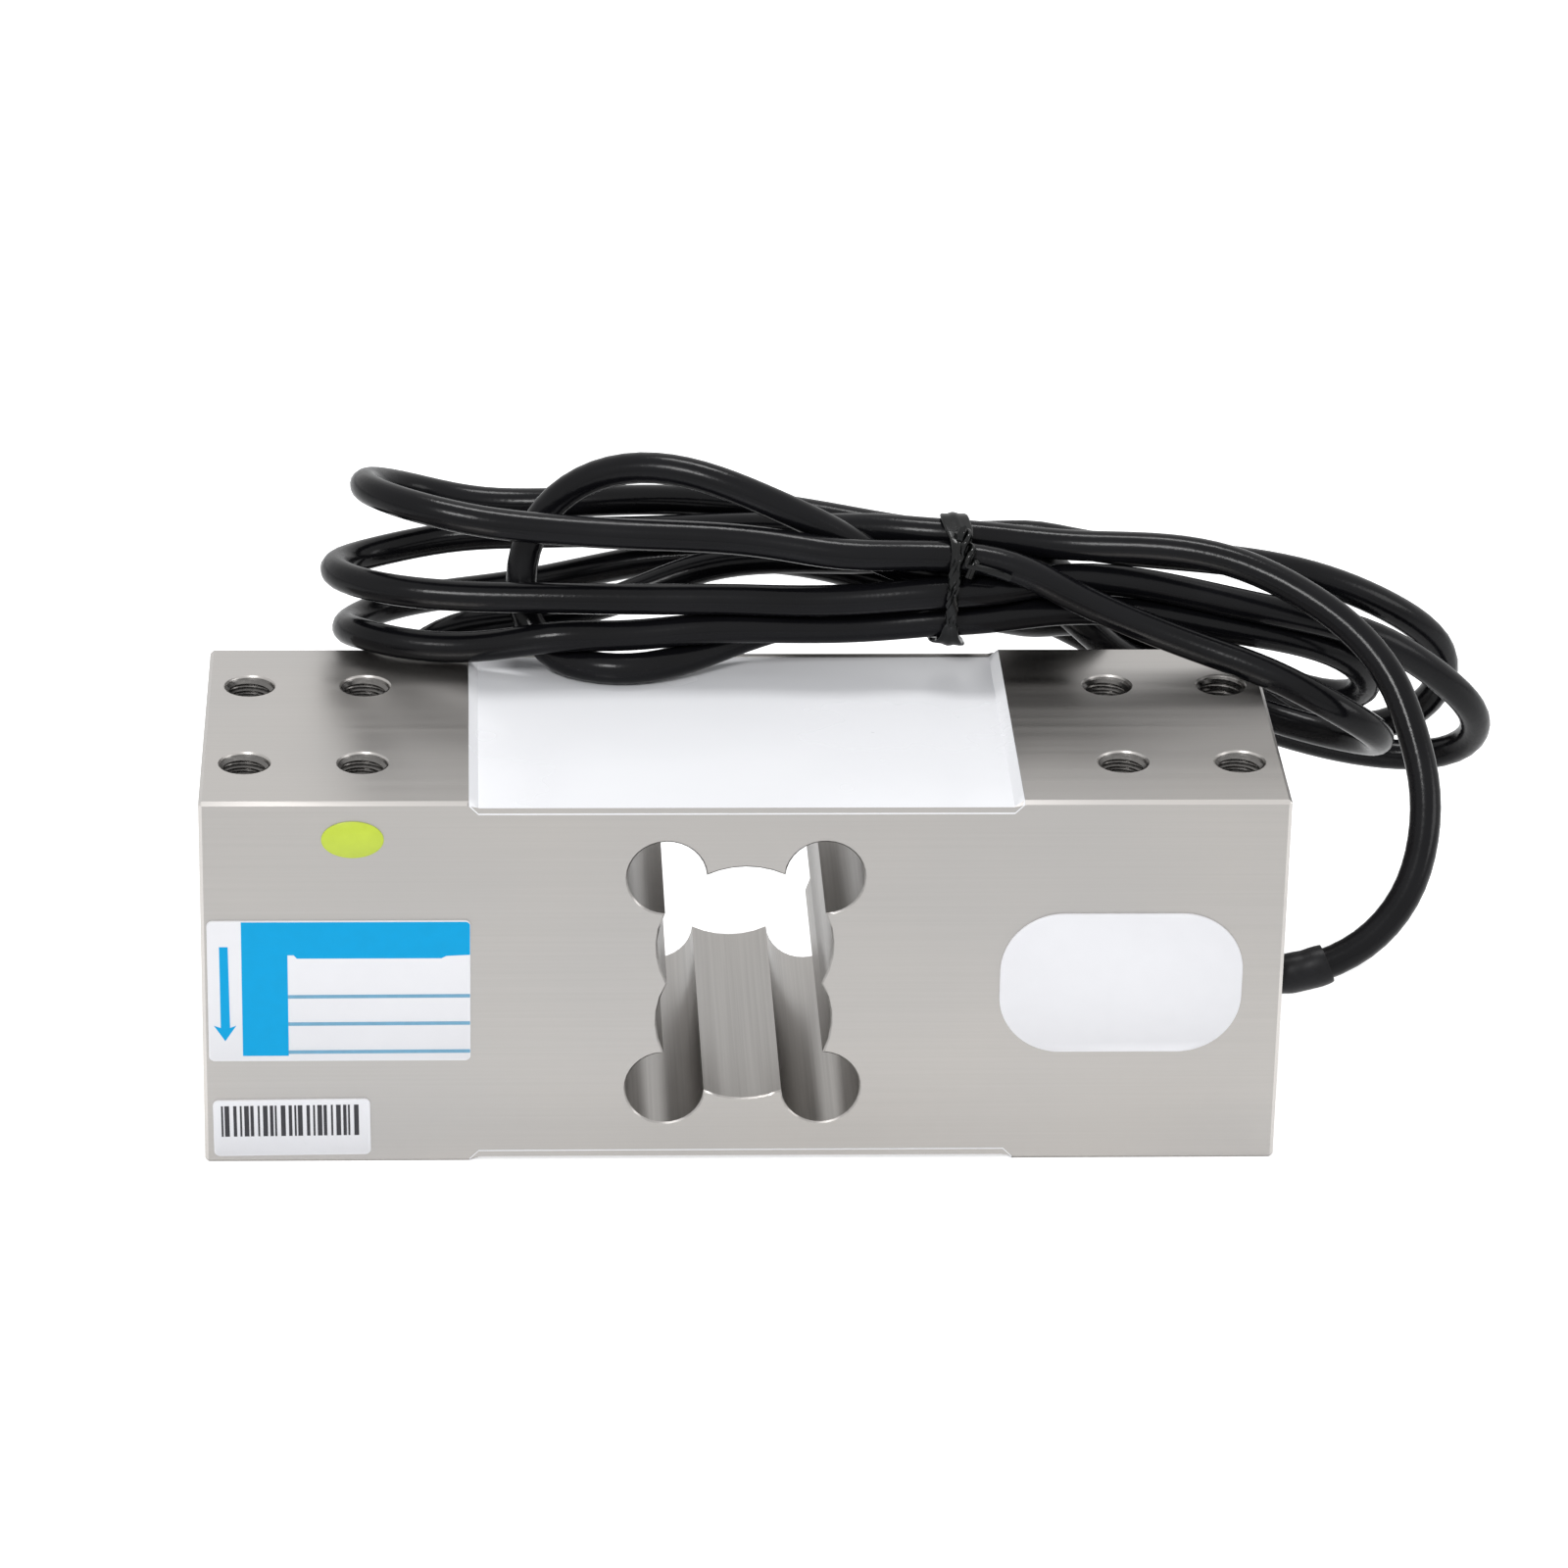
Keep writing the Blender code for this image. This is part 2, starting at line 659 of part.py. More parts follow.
def make_wiring_pocket(looks):
    """The board with its resistors, the potting over them and the label over the pocket."""
    board_back = POCKET_FLOOR_Y - CLEARANCE
    outline = rounded_rectangle((BOARD_X, MIDDLE_Z), BOARD_LENGTH, BOARD_HEIGHT, GAUGE_CORNER)
    plate("compensation_board", outline, BOARD_FRONT_Y, board_back, looks["board"], True)
    back = BOARD_FRONT_Y - CLEARANCE
    for i in range(RESISTOR_COUNT):
        z = MIDDLE_Z + (i - (RESISTOR_COUNT - 1) / 2) * RESISTOR_PITCH
        outline = rounded_rectangle(
            (BOARD_X, z), RESISTOR_LENGTH, RESISTOR_HEIGHT, RESISTOR_CORNER
        )
        front = back - RESISTOR_THICKNESS
        plate(f"trim_resistor_{i + 1}", outline, front, back, looks["resistor"], True)
    outline = rounded_rectangle(
        (POCKET_X, MIDDLE_Z),
        POCKET_LENGTH - 2 * CLEARANCE,
        POCKET_HEIGHT - 2 * CLEARANCE,
        POCKET_RADIUS - CLEARANCE,
    )
    front = FRONT_Y + CLEARANCE
    plate("pocket_potting", outline, front, front + POTTING_THICKNESS, looks["sealant"], True)
    outline = rounded_rectangle(
        (POCKET_X, MIDDLE_Z),
        POCKET_LENGTH + 2 * POCKET_LABEL_LAP,
        POCKET_HEIGHT + 2 * POCKET_LABEL_LAP,
        POCKET_RADIUS + POCKET_LABEL_LAP,
    )
    make_label("pocket_label", outline, looks["label"])


def make_label(name, outline, look):
    back = FRONT_Y - CLEARANCE
    return plate(name, outline, back - LABEL_THICKNESS, back, look, True)


def make_front_labels(looks):
    centre = (
        -END_X + RATING_LABEL_TO_END + RATING_LABEL_LENGTH / 2,
        RATING_LABEL_RISE + RATING_LABEL_HEIGHT / 2,
    )
    outline = rounded_rectangle(centre, RATING_LABEL_LENGTH, RATING_LABEL_HEIGHT, LABEL_RADIUS)
    make_label("rating_label", outline, looks["rating"])
    centre = (
        -END_X + BARCODE_LABEL_TO_END + BARCODE_LABEL_LENGTH / 2,
        BARCODE_LABEL_RISE + BARCODE_LABEL_HEIGHT / 2,
    )
    outline = rounded_rectangle(
        centre, BARCODE_LABEL_LENGTH, BARCODE_LABEL_HEIGHT, LABEL_RADIUS, BARCODE_LABEL_TILT
    )
    make_label("barcode_label", outline, looks["label"])
    centre = (-END_X + OVAL_FROM_END, BODY_HEIGHT - OVAL_FROM_TOP)
    make_label("oval_sticker", ellipse(centre, OVAL_LENGTH, OVAL_HEIGHT, OVAL_SIDES), looks["oval"])


def make_cable_entry(looks):
    """The jacket's end in the pocket with its ferrule and four cores, and the sleeve."""
    inner_end = END_X - SLEEVE_INSIDE
    jacket = (inner_end - CLEARANCE - JACKET_IN_POCKET, inner_end - CLEARANCE)
    ends = [(x, CABLE_Y, CABLE_Z) for x in jacket]
    make_cord("cable_jacket_end", ends, CABLE_DIAMETER, looks["cable"], 3)

    bm = bmesh.new()
    bore = CABLE_DIAMETER / 2 + CLEARANCE
    rim = bore + FERRULE_THICKNESS
    middle = (jacket[0] + jacket[1]) / 2
    circles = []
    for radius, x in (
        (bore, middle - FERRULE_LENGTH / 2),
        (rim, middle - FERRULE_LENGTH / 2),
        (rim, middle + FERRULE_LENGTH / 2),
        (bore, middle + FERRULE_LENGTH / 2),
    ):
        circles.append(circle_round_cable(x, radius))
    closed_band(bm, circles)
    add_object("cable_ferrule", bm, looks["steel"], RING_SHARP)

    for i, (colour, rgb) in enumerate(CORE_COLOURS.items()):
        across = CORE_SPREAD * (1 if i % 2 else -1)
        up = CORE_SPREAD * (1 if i < 2 else -1)
        core = material(f"core_insulation_{colour}", rgb, 0.45)
        make_core(colour, i, jacket[0] - CLEARANCE, CABLE_Y + across, CABLE_Z + up, core)


def make_core(colour, index, start_x, start_y, start_z, look):
    """One insulated core, from the jacket's end to its pad on the board."""
    pad_x = BOARD_X + CORE_PAD_SHIFT
    pad_y = BOARD_FRONT_Y - 2 * CLEARANCE - CORE_DIAMETER / 2
    pad_z = MIDDLE_Z + ((len(CORE_COLOURS) - 1) / 2 - index) * CORE_PAD_PITCH
    route = [(start_x, start_y, start_z)]
    for along, deep, up in CORE_FAN:
        x = start_x + along * (pad_x + CORE_ON_PAD - CORE_DIAMETER - start_x)
        route.append((x, start_y + deep * (pad_y - start_y), start_z + up * (pad_z - start_z)))
    route.append((pad_x - CORE_DIAMETER, pad_y, pad_z))
    make_cord(f"core_{colour}", smooth_route(route, CORE_DIAMETER), CORE_DIAMETER, look)


def length_along(points):
    steps = np.linalg.norm(np.diff(np.array(points), axis=0), axis=1)
    return np.concatenate([[0.0], np.cumsum(steps)])


def stretch(points, start, end, spacing):
    """Evenly spaced points of a route between two lengths along it."""
    run = length_along(points)
    table = np.array(points)
    wanted = np.linspace(start, end, max(2, round((end - start) / spacing) + 1))
    return [[float(np.interp(s, run, table[:, k])) for k in range(3)] for s in wanted]


def make_sleeve_and_lead(looks):
    """The sleeve that is shrunk on the cable, and the free lead that starts at its end."""
    route = [(END_X + x, CABLE_Y + y, CABLE_Z + z) for x, y, z in CABLE_ROUTE]
    points = smooth_route(route, CABLE_DIAMETER / 4)
    under_sleeve = stretch(points, 0.0, SLEEVE_LENGTH, CABLE_DIAMETER / 2)
    make_cord("cable_sleeve", under_sleeve, SLEEVE_DIAMETER, looks["sleeve"], 3)
    free_start, free_end = SLEEVE_LENGTH + 2 * CLEARANCE, length_along(points)[-1]
    free = stretch(points, free_start, free_end, LEAD_POINT_SPACING)
    make_cord("cable_lead", free, CABLE_DIAMETER, looks["cable"], 3)


def circle_round_cable(x, radius):
    return [
        (
            x,
            CABLE_Y + radius * cos(2 * pi * i / HOLE_SIDES),
            CABLE_Z + radius * sin(2 * pi * i / HOLE_SIDES),
        )
        for i in range(HOLE_SIDES)
    ]


def closed_band(bm, circles):
    """Joins circles in a closed cycle, so that the last meets the first: a ring-shaped solid."""
    rows = [[bm.verts.new(point) for point in circle] for circle in circles]
    count = len(rows[0])
    for row, following in zip(rows, rows[1:] + rows[:1]):
        for i in range(count):
            j = (i + 1) % count
            bm.faces.new((row[i], row[j], following[j], following[i]))


def make_hank(looks):
    """The outer shape of the hank, and the tie round its waist."""
    bm = bmesh.new()
    loft(
        bm,
        [
            [
                (
                    END_X + x,
                    -FRONT_Y + y + half_y * cos(2 * pi * i / HANK_SIDES),
                    BODY_HEIGHT + z + half_z * sin(2 * pi * i / HANK_SIDES),
                )
                for i in range(HANK_SIDES)
            ]
            for x, y, z, half_y, half_z in HANK_SECTIONS
        ],
    )
    add_object("cable_hank", bm, looks["cable"], CORD_SHARP)
    make_tie(looks["tie"])


def hank_section_at(x):
    """The middle and half size of the hank's section at x, between the listed ones."""
    for before, after in zip(HANK_SECTIONS, HANK_SECTIONS[1:]):
        if before[0] <= x <= after[0]:
            share = (x - before[0]) / (after[0] - before[0])
            return [p + share * (q - p) for p, q in zip(before[1:], after[1:])]
    raise ValueError("x is past the hank's ends")


def make_tie(look):
    y, z, half_y, half_z = hank_section_at(TIE_FROM_END)
    y, z = y - FRONT_Y, z + BODY_HEIGHT
    reach = max(half_y, half_z) + CLEARANCE + TIE_WIRE_RADIUS
    bm = bmesh.new()
    circles = []
    for i in range(TIE_WIRE_SIDES):
        turn = 2 * pi * i / TIE_WIRE_SIDES
        radius = reach + TIE_WIRE_RADIUS * cos(turn)
        x = END_X + TIE_FROM_END + TIE_WIRE_RADIUS * sin(turn)
        circles.append(
            [
                (x, y + radius * cos(2 * pi * k / TIE_SIDES), z + radius * sin(2 * pi * k / TIE_SIDES))
                for k in range(TIE_SIDES)
            ]
        )
    closed_band(bm, circles)
    return add_object("cable_tie", bm, look, CORD_SHARP)


def main():
    clear_scene()
    cable = material("cable_jacket", (0.012, 0.012, 0.013), 0.32)
    looks = {
        "body": material("milled_aluminium", (0.62, 0.61, 0.60), 0.34, 1.0),
        "gauge": material("gauge_foil", (0.62, 0.33, 0.12), 0.35, 0.6),
        "terminal": material("terminal_copper", (0.70, 0.36, 0.20), 0.35, 0.8),
        "sealant": material("white_sealant", (0.80, 0.80, 0.78), 0.55),
        "cover": material("white_cover_sheet", (0.85, 0.86, 0.88), 0.45),
        "label": material("white_label", (0.88, 0.88, 0.88), 0.40),
        "rating": material("rating_label_print", (0.30, 0.60, 0.80), 0.38),
        "oval": material("lime_sticker", (0.60, 0.75, 0.05), 0.35),
        "board": material("green_board", (0.03, 0.20, 0.07), 0.45),
        "resistor": material("resistor_ceramic", (0.03, 0.03, 0.035), 0.40),
        "wires": material("enamelled_wire", (0.45, 0.16, 0.06), 0.35),
        "steel": material("plated_steel", (0.55, 0.55, 0.56), 0.30, 1.0),
        "cable": cable,
        "sleeve": material("heat_shrink_sleeve", (0.015, 0.015, 0.016), 0.50),
        "tie": material("tie_plastic", (0.010, 0.010, 0.010), 0.22),
    }
    make_spring_body(looks["body"])
    for side, upper in (("top", True), ("base", False)):
        make_gauge_set(side, upper, looks)
        make_gauge_wires(side, upper, looks["wires"])
    make_wiring_pocket(looks)
    make_front_labels(looks)
    make_cable_entry(looks)
    make_sleeve_and_lead(looks)
    make_hank(looks)


main()
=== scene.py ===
"""Looks of the single point load cell.

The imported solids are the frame. This script gives every surface its finish,
lays the whole cable strand by strand, and adds its tie, the threads, the
labels with their fields of colour, the white sheets and the bare cable end.
All sizes are in metres.
"""

from math import ceil, cos, hypot, pi, radians, sin

import bmesh
import bpy
import numpy as np
from mathutils import Matrix, Vector


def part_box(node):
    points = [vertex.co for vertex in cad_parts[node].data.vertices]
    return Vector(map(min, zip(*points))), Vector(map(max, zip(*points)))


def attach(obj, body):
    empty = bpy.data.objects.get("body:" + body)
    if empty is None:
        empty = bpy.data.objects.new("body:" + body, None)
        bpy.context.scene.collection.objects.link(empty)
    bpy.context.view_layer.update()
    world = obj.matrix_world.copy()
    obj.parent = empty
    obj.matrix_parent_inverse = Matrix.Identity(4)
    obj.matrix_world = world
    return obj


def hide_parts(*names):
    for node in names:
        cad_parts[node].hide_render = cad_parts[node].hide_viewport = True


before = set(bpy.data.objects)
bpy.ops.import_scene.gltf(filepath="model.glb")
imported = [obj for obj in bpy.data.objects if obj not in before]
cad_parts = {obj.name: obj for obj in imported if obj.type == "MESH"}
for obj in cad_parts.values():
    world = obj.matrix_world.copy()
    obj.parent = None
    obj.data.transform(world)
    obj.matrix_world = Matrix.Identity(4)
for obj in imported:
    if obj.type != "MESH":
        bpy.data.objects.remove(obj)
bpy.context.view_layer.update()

# Camera, fitted to the body's corners in the photograph
CAMERA_PLACE = (-0.04509, -0.97966, 0.51714)
CAMERA_LENS = 151.482
CAMERA_SENSOR = 36.0
CAMERA_PITCH = radians(25.271)
CAMERA_YAW = radians(3.064)
CAMERA_ROLL = radians(1.205)

# The body's box, and what the solids give of places on it
BODY_LOW, BODY_HIGH = (Vector(corner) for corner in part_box("spring_body"))
END_X = BODY_HIGH.x
FRONT_Y = BODY_LOW.y
TOP_Z = BODY_HIGH.z
EDGE_BREAK = 0.0006
PAD_LENGTH = 0.043
RECESS_DEPTH = 0.0016

# The cut-out's walls lie this near the body's middle, and this far from its top and base
CUTOUT_REACH = 0.024
CUTOUT_MARGIN = 0.006

# Body mesh: corners this near join, edges past the angle are sharp, planes past the area flat
MERGE_DISTANCE = 0.000002
SHARP_ANGLE = radians(28)
WIDE_PLANE_AREA = 0.0002

# Tapped holes. The ridge's profile gives whether a corner is at the crest, and its shift in turns
TAP_RADIUS = 0.0040
TAP_TO_END = 0.007
TAP_PITCH = 0.019
TAP_SPREAD = 0.030
TAP_MOUTH = 0.0003
TAP_DEPTH = 0.022
TAP_SLACK = 0.0001
THREAD_PITCH = 0.00125
THREAD_CREST_RADIUS = 0.00345
THREAD_START = 0.0003
THREAD_INSET = 0.00005
THREAD_END = 0.0150
THREAD_STEPS = 32
THREAD_INTO_WALL = 0.00003
THREAD_PROFILE = ((False, -0.44), (True, -0.07), (True, 0.07), (False, 0.44))
THREAD_FADE_STEPS = 10
THREAD_LEAST_RIDGE = 0.04

# Cable
CABLE_DIAMETER = 0.0052
CABLE_Y = FRONT_Y + 0.006
CABLE_Z = 0.0307
CABLE_SPACING = 0.0026
CABLE_SIDES = 7

# Shrink sleeve: ripples along it as (height, rate, shift), waves round it as (height, turns, drift)
SLEEVE_DIAMETER = 0.0066
SLEEVE_LENGTH = 0.0167
SLEEVE_STEPS = 40
SLEEVE_SIDES = 40
SLEEVE_RIPPLES = ((0.00007, 9, 1), (0.00005, 23, 0))
SLEEVE_WAVES = ((0.012, 2, 3), (0.006, 5, -4))
SLEEVE_LIP_FROM = 0.965
SLEEVE_LIP_DEPTH = 0.00025

# The hank is held at one place; the nine strands there lie in a round bundle
TIE_X = 0.0368
TIE_MIDDLE = (0.0285, 0.0790)
TIE_INNER_RADIUS = 0.0076
TIE_STEP = 0.0035
TIE_HOLD = 0.004

# The tie's strip. Its angles are degrees round the bundle: 90 is the top, 180 the front, 270 below.
# A span gives where a change starts, is full, ends and is gone.
STRIP_X = 0.0360
STRIP_REACH = 0.0024
STRIP_SPACING = 0.0007
STRIP_THICKNESS = 0.0008
STRIP_CLEARANCE = 0.0002
STRIP_HALF_WIDTH = 0.0014
STRIP_TOP, STRIP_TOP_WIDER = (58, 92, 104, 138), 0.0010
STRIP_BASE, STRIP_BASE_WIDER = (222, 250, 262, 290), 0.0017
STRIP_FRONT, STRIP_FRONT_NARROWER, STRIP_FRONT_THICKER = (128, 152, 204, 222), 0.0005, 0.9
STRIP_TWIST = (132, 214)
# Shifts of the strip: the angle, the spread, and the move along X, Y and Z
STRIP_SHIFTS = (
    (118, 26, (0.0011, 0, 0)),
    (262, 30, (-0.0007, 0, -0.0007)),
    (200, 34, (-0.0005, -0.0004, 0)),
)

# The knot: its start, its twisted part, and its two tails as (way, length, half width at the tip)
KNOT_ANGLE = 116
KNOT_OUTWARD = Vector((0.10, -0.72, 0.68)).normalized()
KNOT_ALONG = Vector((0.26, -0.60, -0.75)).normalized()
KNOT_OFF_STRIP = 0.0010
KNOT_RISE = 0.0006
KNOT_LENGTH = 0.0062
KNOT_TURNS = 1.25
KNOT_RADIUS = 0.00085
KNOT_FIRST_SPREAD, KNOT_OPENING = 0.4, 2.5
KNOT_STEPS = 40
KNOT_HALF_WIDTH = 0.0012
KNOT_TAILS = (
    (Vector((0.97, -0.10, -0.16)).normalized(), 0.0074, 0.00075),
    (Vector((-0.62, -0.35, -0.70)).normalized(), 0.0022, 0.0009),
)
KNOT_TAIL_DROP = 0.0008
KNOT_TAIL_TWIST = 0.9
KNOT_TAIL_STEPS = 10

# The stripped end
FOIL_RADIUS = 0.0019
FOIL_UNEVEN = 0.0001
FOIL_SIDES = 18
FOIL_PLACES = (-0.0005, 0.0010, 0.0030)
CORE_DIAMETER = 0.0012
STRAND_DIAMETER = 0.0007
CORE_START = 0.0020
CORE_LENGTH = 0.0130
CORE_APART = 0.0009
CORE_SPREAD = 0.0016
CORE_DROP = 0.002
CORE_STEPS = 12
CORE_INSULATED_STEPS = 9

# Sheets in the recesses. Where a sheet reaches the top it stays just below it, squeezed thin
SHEET_THICKNESS = 0.00022
SHEET_LIFT = 0.00003
SHEET_BELOW_TOP = 0.00002
SHEET_SQUEEZE = 0.05
SHEET_STEPS = 12

# Labels on the front face, and what is printed on them
LABEL_THICKNESS = 0.00045
PRINT_THICKNESS = 0.00003
LABEL_FACE_Y = FRONT_Y - LABEL_THICKNESS
LABEL_CORNER = 0.0009
PRINT_MARGIN = 0.00008
BARCODE_TILT = radians(0.6)
BARCODE_HALF = (0.01275, 0.00505)
BAR_MARGINS = (0.0013, 0.0018)
BAR_FOOT, BAR_HEAD = 0.0036, 0.0009
BAR_WIDTH, BAR_WIDTH_STEP = 0.00032, 0.00022
BAR_GAP, BAR_GAP_STEP = 0.00024, 0.00014
RULE_HEIGHTS = (0.0114, 0.00645, 0.00135)
RULE_THICKNESS, RULE_RISE = 0.00062, 0.0001

# Studio. Glossy surfaces see the floor's glow fade from the first to the second value over the
# reach, which is measured along Y
FILL_COLOUR = (0.97, 0.985, 1.0)
FILL_STRENGTH = 0.48
FLOOR_COLOUR = (0.90, 0.90, 0.90)
FLOOR_RADIUS = 4.0
FLOOR_GLOW = 0.60
MIRRORED_REACH = (0.03, 0.15)
MIRRORED_GLOW = (0.38, 0.08)
LIGHT_AIM = (0.0, 0.0, 0.04)
LIGHTS = (
    ("key_light", (-0.30, -0.80, 0.82), (0.26, 0.26), 5.4),
    ("top_light", (0.06, 0.26, 0.96), (0.36, 0.18), 3.4),
    ("side_light", (0.95, -0.25, 0.45), (0.4, 0.3), 1.2),
)

# A noise texture's values lie mostly in this span
NOISE_SPAN = (0.3, 0.7)

# Colours, as linear values
ALUMINIUM = (0.466, 0.449, 0.433)
BLACK_JACKET = (0.0045, 0.0045, 0.0055)
WHITE_LABEL = (0.87, 0.87, 0.90)
WHITE_SHEET = (0.89, 0.895, 0.92)
PRINT_BLUE = (0.002, 0.376, 0.740)
RULE_BLUE = (0.16, 0.38, 0.55)
LIME = (0.56, 0.69, 0.055)
BAR_BLACK = (0.022, 0.022, 0.028)
CORE_COLOURS = {
    "red": (0.50, 0.03, 0.03),
    "black": (0.02, 0.02, 0.02),
    "green": (0.03, 0.30, 0.08),
    "white": (0.80, 0.80, 0.78),
}

# The cable's route in tenths of a millimetre: the lead from its hole, then each pass of the hank
ROUTE_PER_METRE = 10000
LEAD = (
    (-85, 0, 0), (-40, 0, 0), (0, 0, 1), (35, 1, 6), (85, 5, 21), (150, 23, 54), (210, 64, 112),
    (242, 120, 184), (248, 180, 257), (232, 238, 326), (203, 294, 392), (155, 343, 446),
    (90, 387, 488), (20, 425, 518), (-10, 439, 527),
)
HUMP = (
    (811, 220, 848), (731, 238, 856), (636, 262, 852), (541, 280, 846),
)
MIDDLE_LOOP_LEFT = (
    (200, 330, 850), (21, 390, 832), (-77, 420, 815), (-241, 478, 786), (-349, 512, 772),
    (-470, 533, 755), (-575, 505, 743), (-646, 450, 746), (-670, 400, 758), (-648, 325, 770),
    (-575, 260, 776), (-483, 240, 774), (-391, 230, 775), (-217, 220, 776), (-66, 220, 774),
    (108, 220, 772), (240, 223, 776),
)
LONG_LOOP_RIGHT = (
    (500, 252, 796), (620, 268, 790), (733, 264, 772), (845, 250, 748), (960, 242, 730),
    (1060, 250, 698), (1150, 270, 640), (1218, 300, 572), (1266, 340, 508), (1268, 385, 448),
    (1243, 425, 400), (1179, 450, 381), (1105, 465, 384), (1028, 470, 396), (958, 465, 417),
    (800, 460, 485), (660, 435, 580), (540, 395, 668), (455, 362, 716),
)
LOW_LOOP_LEFT = (
    (200, 410, 745), (20, 465, 746), (-140, 490, 730), (-230, 502, 706), (-320, 514, 680),
    (-410, 524, 660), (-490, 530, 648), (-540, 522, 642), (-585, 500, 642), (-632, 445, 640),
    (-646, 380, 652), (-625, 305, 670), (-571, 260, 678), (-490, 250, 676), (-408, 230, 685),
    (-311, 210, 702), (-217, 210, 706), (-65, 220, 717), (111, 240, 715), (240, 254, 712),
)
INNER_LOOP_RIGHT = (
    (500, 262, 736), (620, 268, 734), (740, 264, 722), (850, 260, 702), (950, 262, 680),
    (1035, 275, 642), (1072, 315, 588), (1066, 360, 538), (1015, 405, 516), (905, 435, 545),
    (780, 440, 592), (640, 410, 650), (520, 360, 702),
)
RISING_LOOP_LEFT = (
    (240, 300, 719), (100, 280, 706), (-30, 245, 684), (-125, 200, 668), (-195, 185, 660),
    (-245, 195, 660), (-295, 222, 668), (-338, 262, 700), (-354, 297, 750), (-350, 318, 810),
    (-330, 330, 870), (-290, 335, 912), (-235, 330, 950), (-140, 310, 974), (-19, 280, 957),
    (78, 265, 916), (160, 265, 874), (240, 274, 830),
)
BACK_LOOP_RIGHT = (
    (500, 365, 745), (600, 410, 685), (720, 460, 605), (840, 495, 540), (990, 515, 420),
    (1064, 515, 402), (1128, 505, 410), (1180, 485, 446), (1216, 460, 502), (1223, 430, 563),
    (1194, 400, 624), (1140, 375, 674), (1076, 360, 716), (994, 345, 757), (908, 338, 782),
    (824, 338, 795), (741, 338, 804), (658, 338, 812), (558, 338, 820),
)
TOP_LOOP_LEFT = (
    (202, 385, 844), (107, 420, 848), (4, 452, 848), (-159, 502, 836), (-312, 535, 813),
    (-436, 540, 813), (-497, 540, 830), (-562, 510, 860), (-606, 455, 888), (-614, 380, 910),
    (-583, 310, 921), (-524, 270, 920), (-468, 250, 912), (-412, 240, 903), (-328, 240, 896),
    (-217, 240, 885), (-66, 240, 879), (90, 240, 866), (240, 242, 848),
)
FRONT_LOOP_RIGHT = (
    (509, 230, 794), (619, 215, 756), (734, 190, 714), (876, 145, 676), (965, 125, 636),
    (1040, 140, 586), (1083, 200, 530), (1075, 275, 490), (1012, 340, 476), (925, 385, 482),
    (800, 395, 530), (660, 380, 610), (520, 355, 706),
)
FREE_END = (
    (200, 355, 790), (50, 365, 786), (-55, 368, 770), (-135, 362, 738), (-207, 355, 708),
    (-290, 350, 692), (-400, 345, 682), (-480, 360, 655), (-540, 375, 612), (-575, 385, 560),
)

# Each pass in turn, with the Y and Z at which it goes through the tie before it
PASSES = (
    (HUMP, None),
    (MIDDLE_LOOP_LEFT, (0.0290, 0.0862)),
    (LONG_LOOP_RIGHT, (0.0218, 0.0790)),
    (LOW_LOOP_LEFT, (0.0342, 0.0734)),
    (INNER_LOOP_RIGHT, (0.0260, 0.0716)),
    (RISING_LOOP_LEFT, (0.0310, 0.0728)),
    (BACK_LOOP_RIGHT, (0.0284, 0.0786)),
    (TOP_LOOP_LEFT, (0.0342, 0.0832)),
    (FRONT_LOOP_RIGHT, (0.0240, 0.0842)),
    (FREE_END, (0.0360, 0.0780)),
)

# How the strands are settled against each other. Points up to ALONG_ITSELF apart on the cable
# don't push. Strands sink into the top recess over RECESS_EASE, and leave SHEET_ROOM below
SETTLE_ROUNDS = 400
SETTLE_PULL = 0.02
SETTLE_PULL_LOSS = 0.7
SETTLE_APART = 1.02 * CABLE_DIAMETER
SETTLE_PUSH = 0.25
SETTLE_SPACING = 0.25
SETTLE_EASE = 0.5
SETTLE_HOLD = 0.5
ALONG_ITSELF = 5
RECESS_EASE = 0.006
SHEET_ROOM = 0.0003
TINY = 1e-9


def feed(node, values):
    """Sets a node's sockets to numbers and colours, and links other nodes' outputs to them."""
    for socket, value in values.items():
        if isinstance(value, bpy.types.NodeSocket):
            node.id_data.links.new(value, node.inputs[socket])
        else:
            node.inputs[socket].default_value = value
    return node


def add_node(tree, kind, values):
    return feed(tree.nodes.new(kind), values)


def math_node(tree, operation, *values):
    node = tree.nodes.new("ShaderNodeMath")
    node.operation = operation
    return feed(node, dict(enumerate(values))).outputs[0]


def node_material(name, colour, roughness, metallic):
    """A new material with its nodes and its shader; plain values sit on the shader's sockets."""
    made = bpy.data.materials.new(f"{name}_finish")
    made.use_nodes = True
    shader = made.node_tree.nodes["Principled BSDF"]
    feed(shader, {"Base Color": (*colour, 1), "Roughness": roughness, "Metallic": metallic})
    return made, made.node_tree, shader


def noise(tree, stretch, detail=3.0):
    """A noise texture in the frame's own coordinates, stretched along each axis."""
    place = add_node(tree, "ShaderNodeTexCoord", {}).outputs["Object"]
    mapping = add_node(tree, "ShaderNodeMapping", {"Vector": place, "Scale": stretch})
    values = {"Vector": mapping.outputs["Vector"], "Scale": 1.0, "Detail": detail}
    return add_node(tree, "ShaderNodeTexNoise", values).outputs["Fac"]


def blend_colours(tree, factor, low, high):
    """A colour that goes from low to high as the factor goes through the noise's span."""
    ramp = add_node(tree, "ShaderNodeValToRGB", {"Fac": factor})
    for element, place, colour in zip(ramp.color_ramp.elements, NOISE_SPAN, (low, high)):
        element.position = place
        element.color = (*colour, 1)
    return ramp.outputs["Color"]


def multiply_colours(tree, first, second):
    mixer = tree.nodes.new("ShaderNodeMix")
    mixer.data_type = "RGBA"
    mixer.blend_type = "MULTIPLY"
    return feed(mixer, {"Factor": 1.0, 6: first, 7: second}).outputs[2]


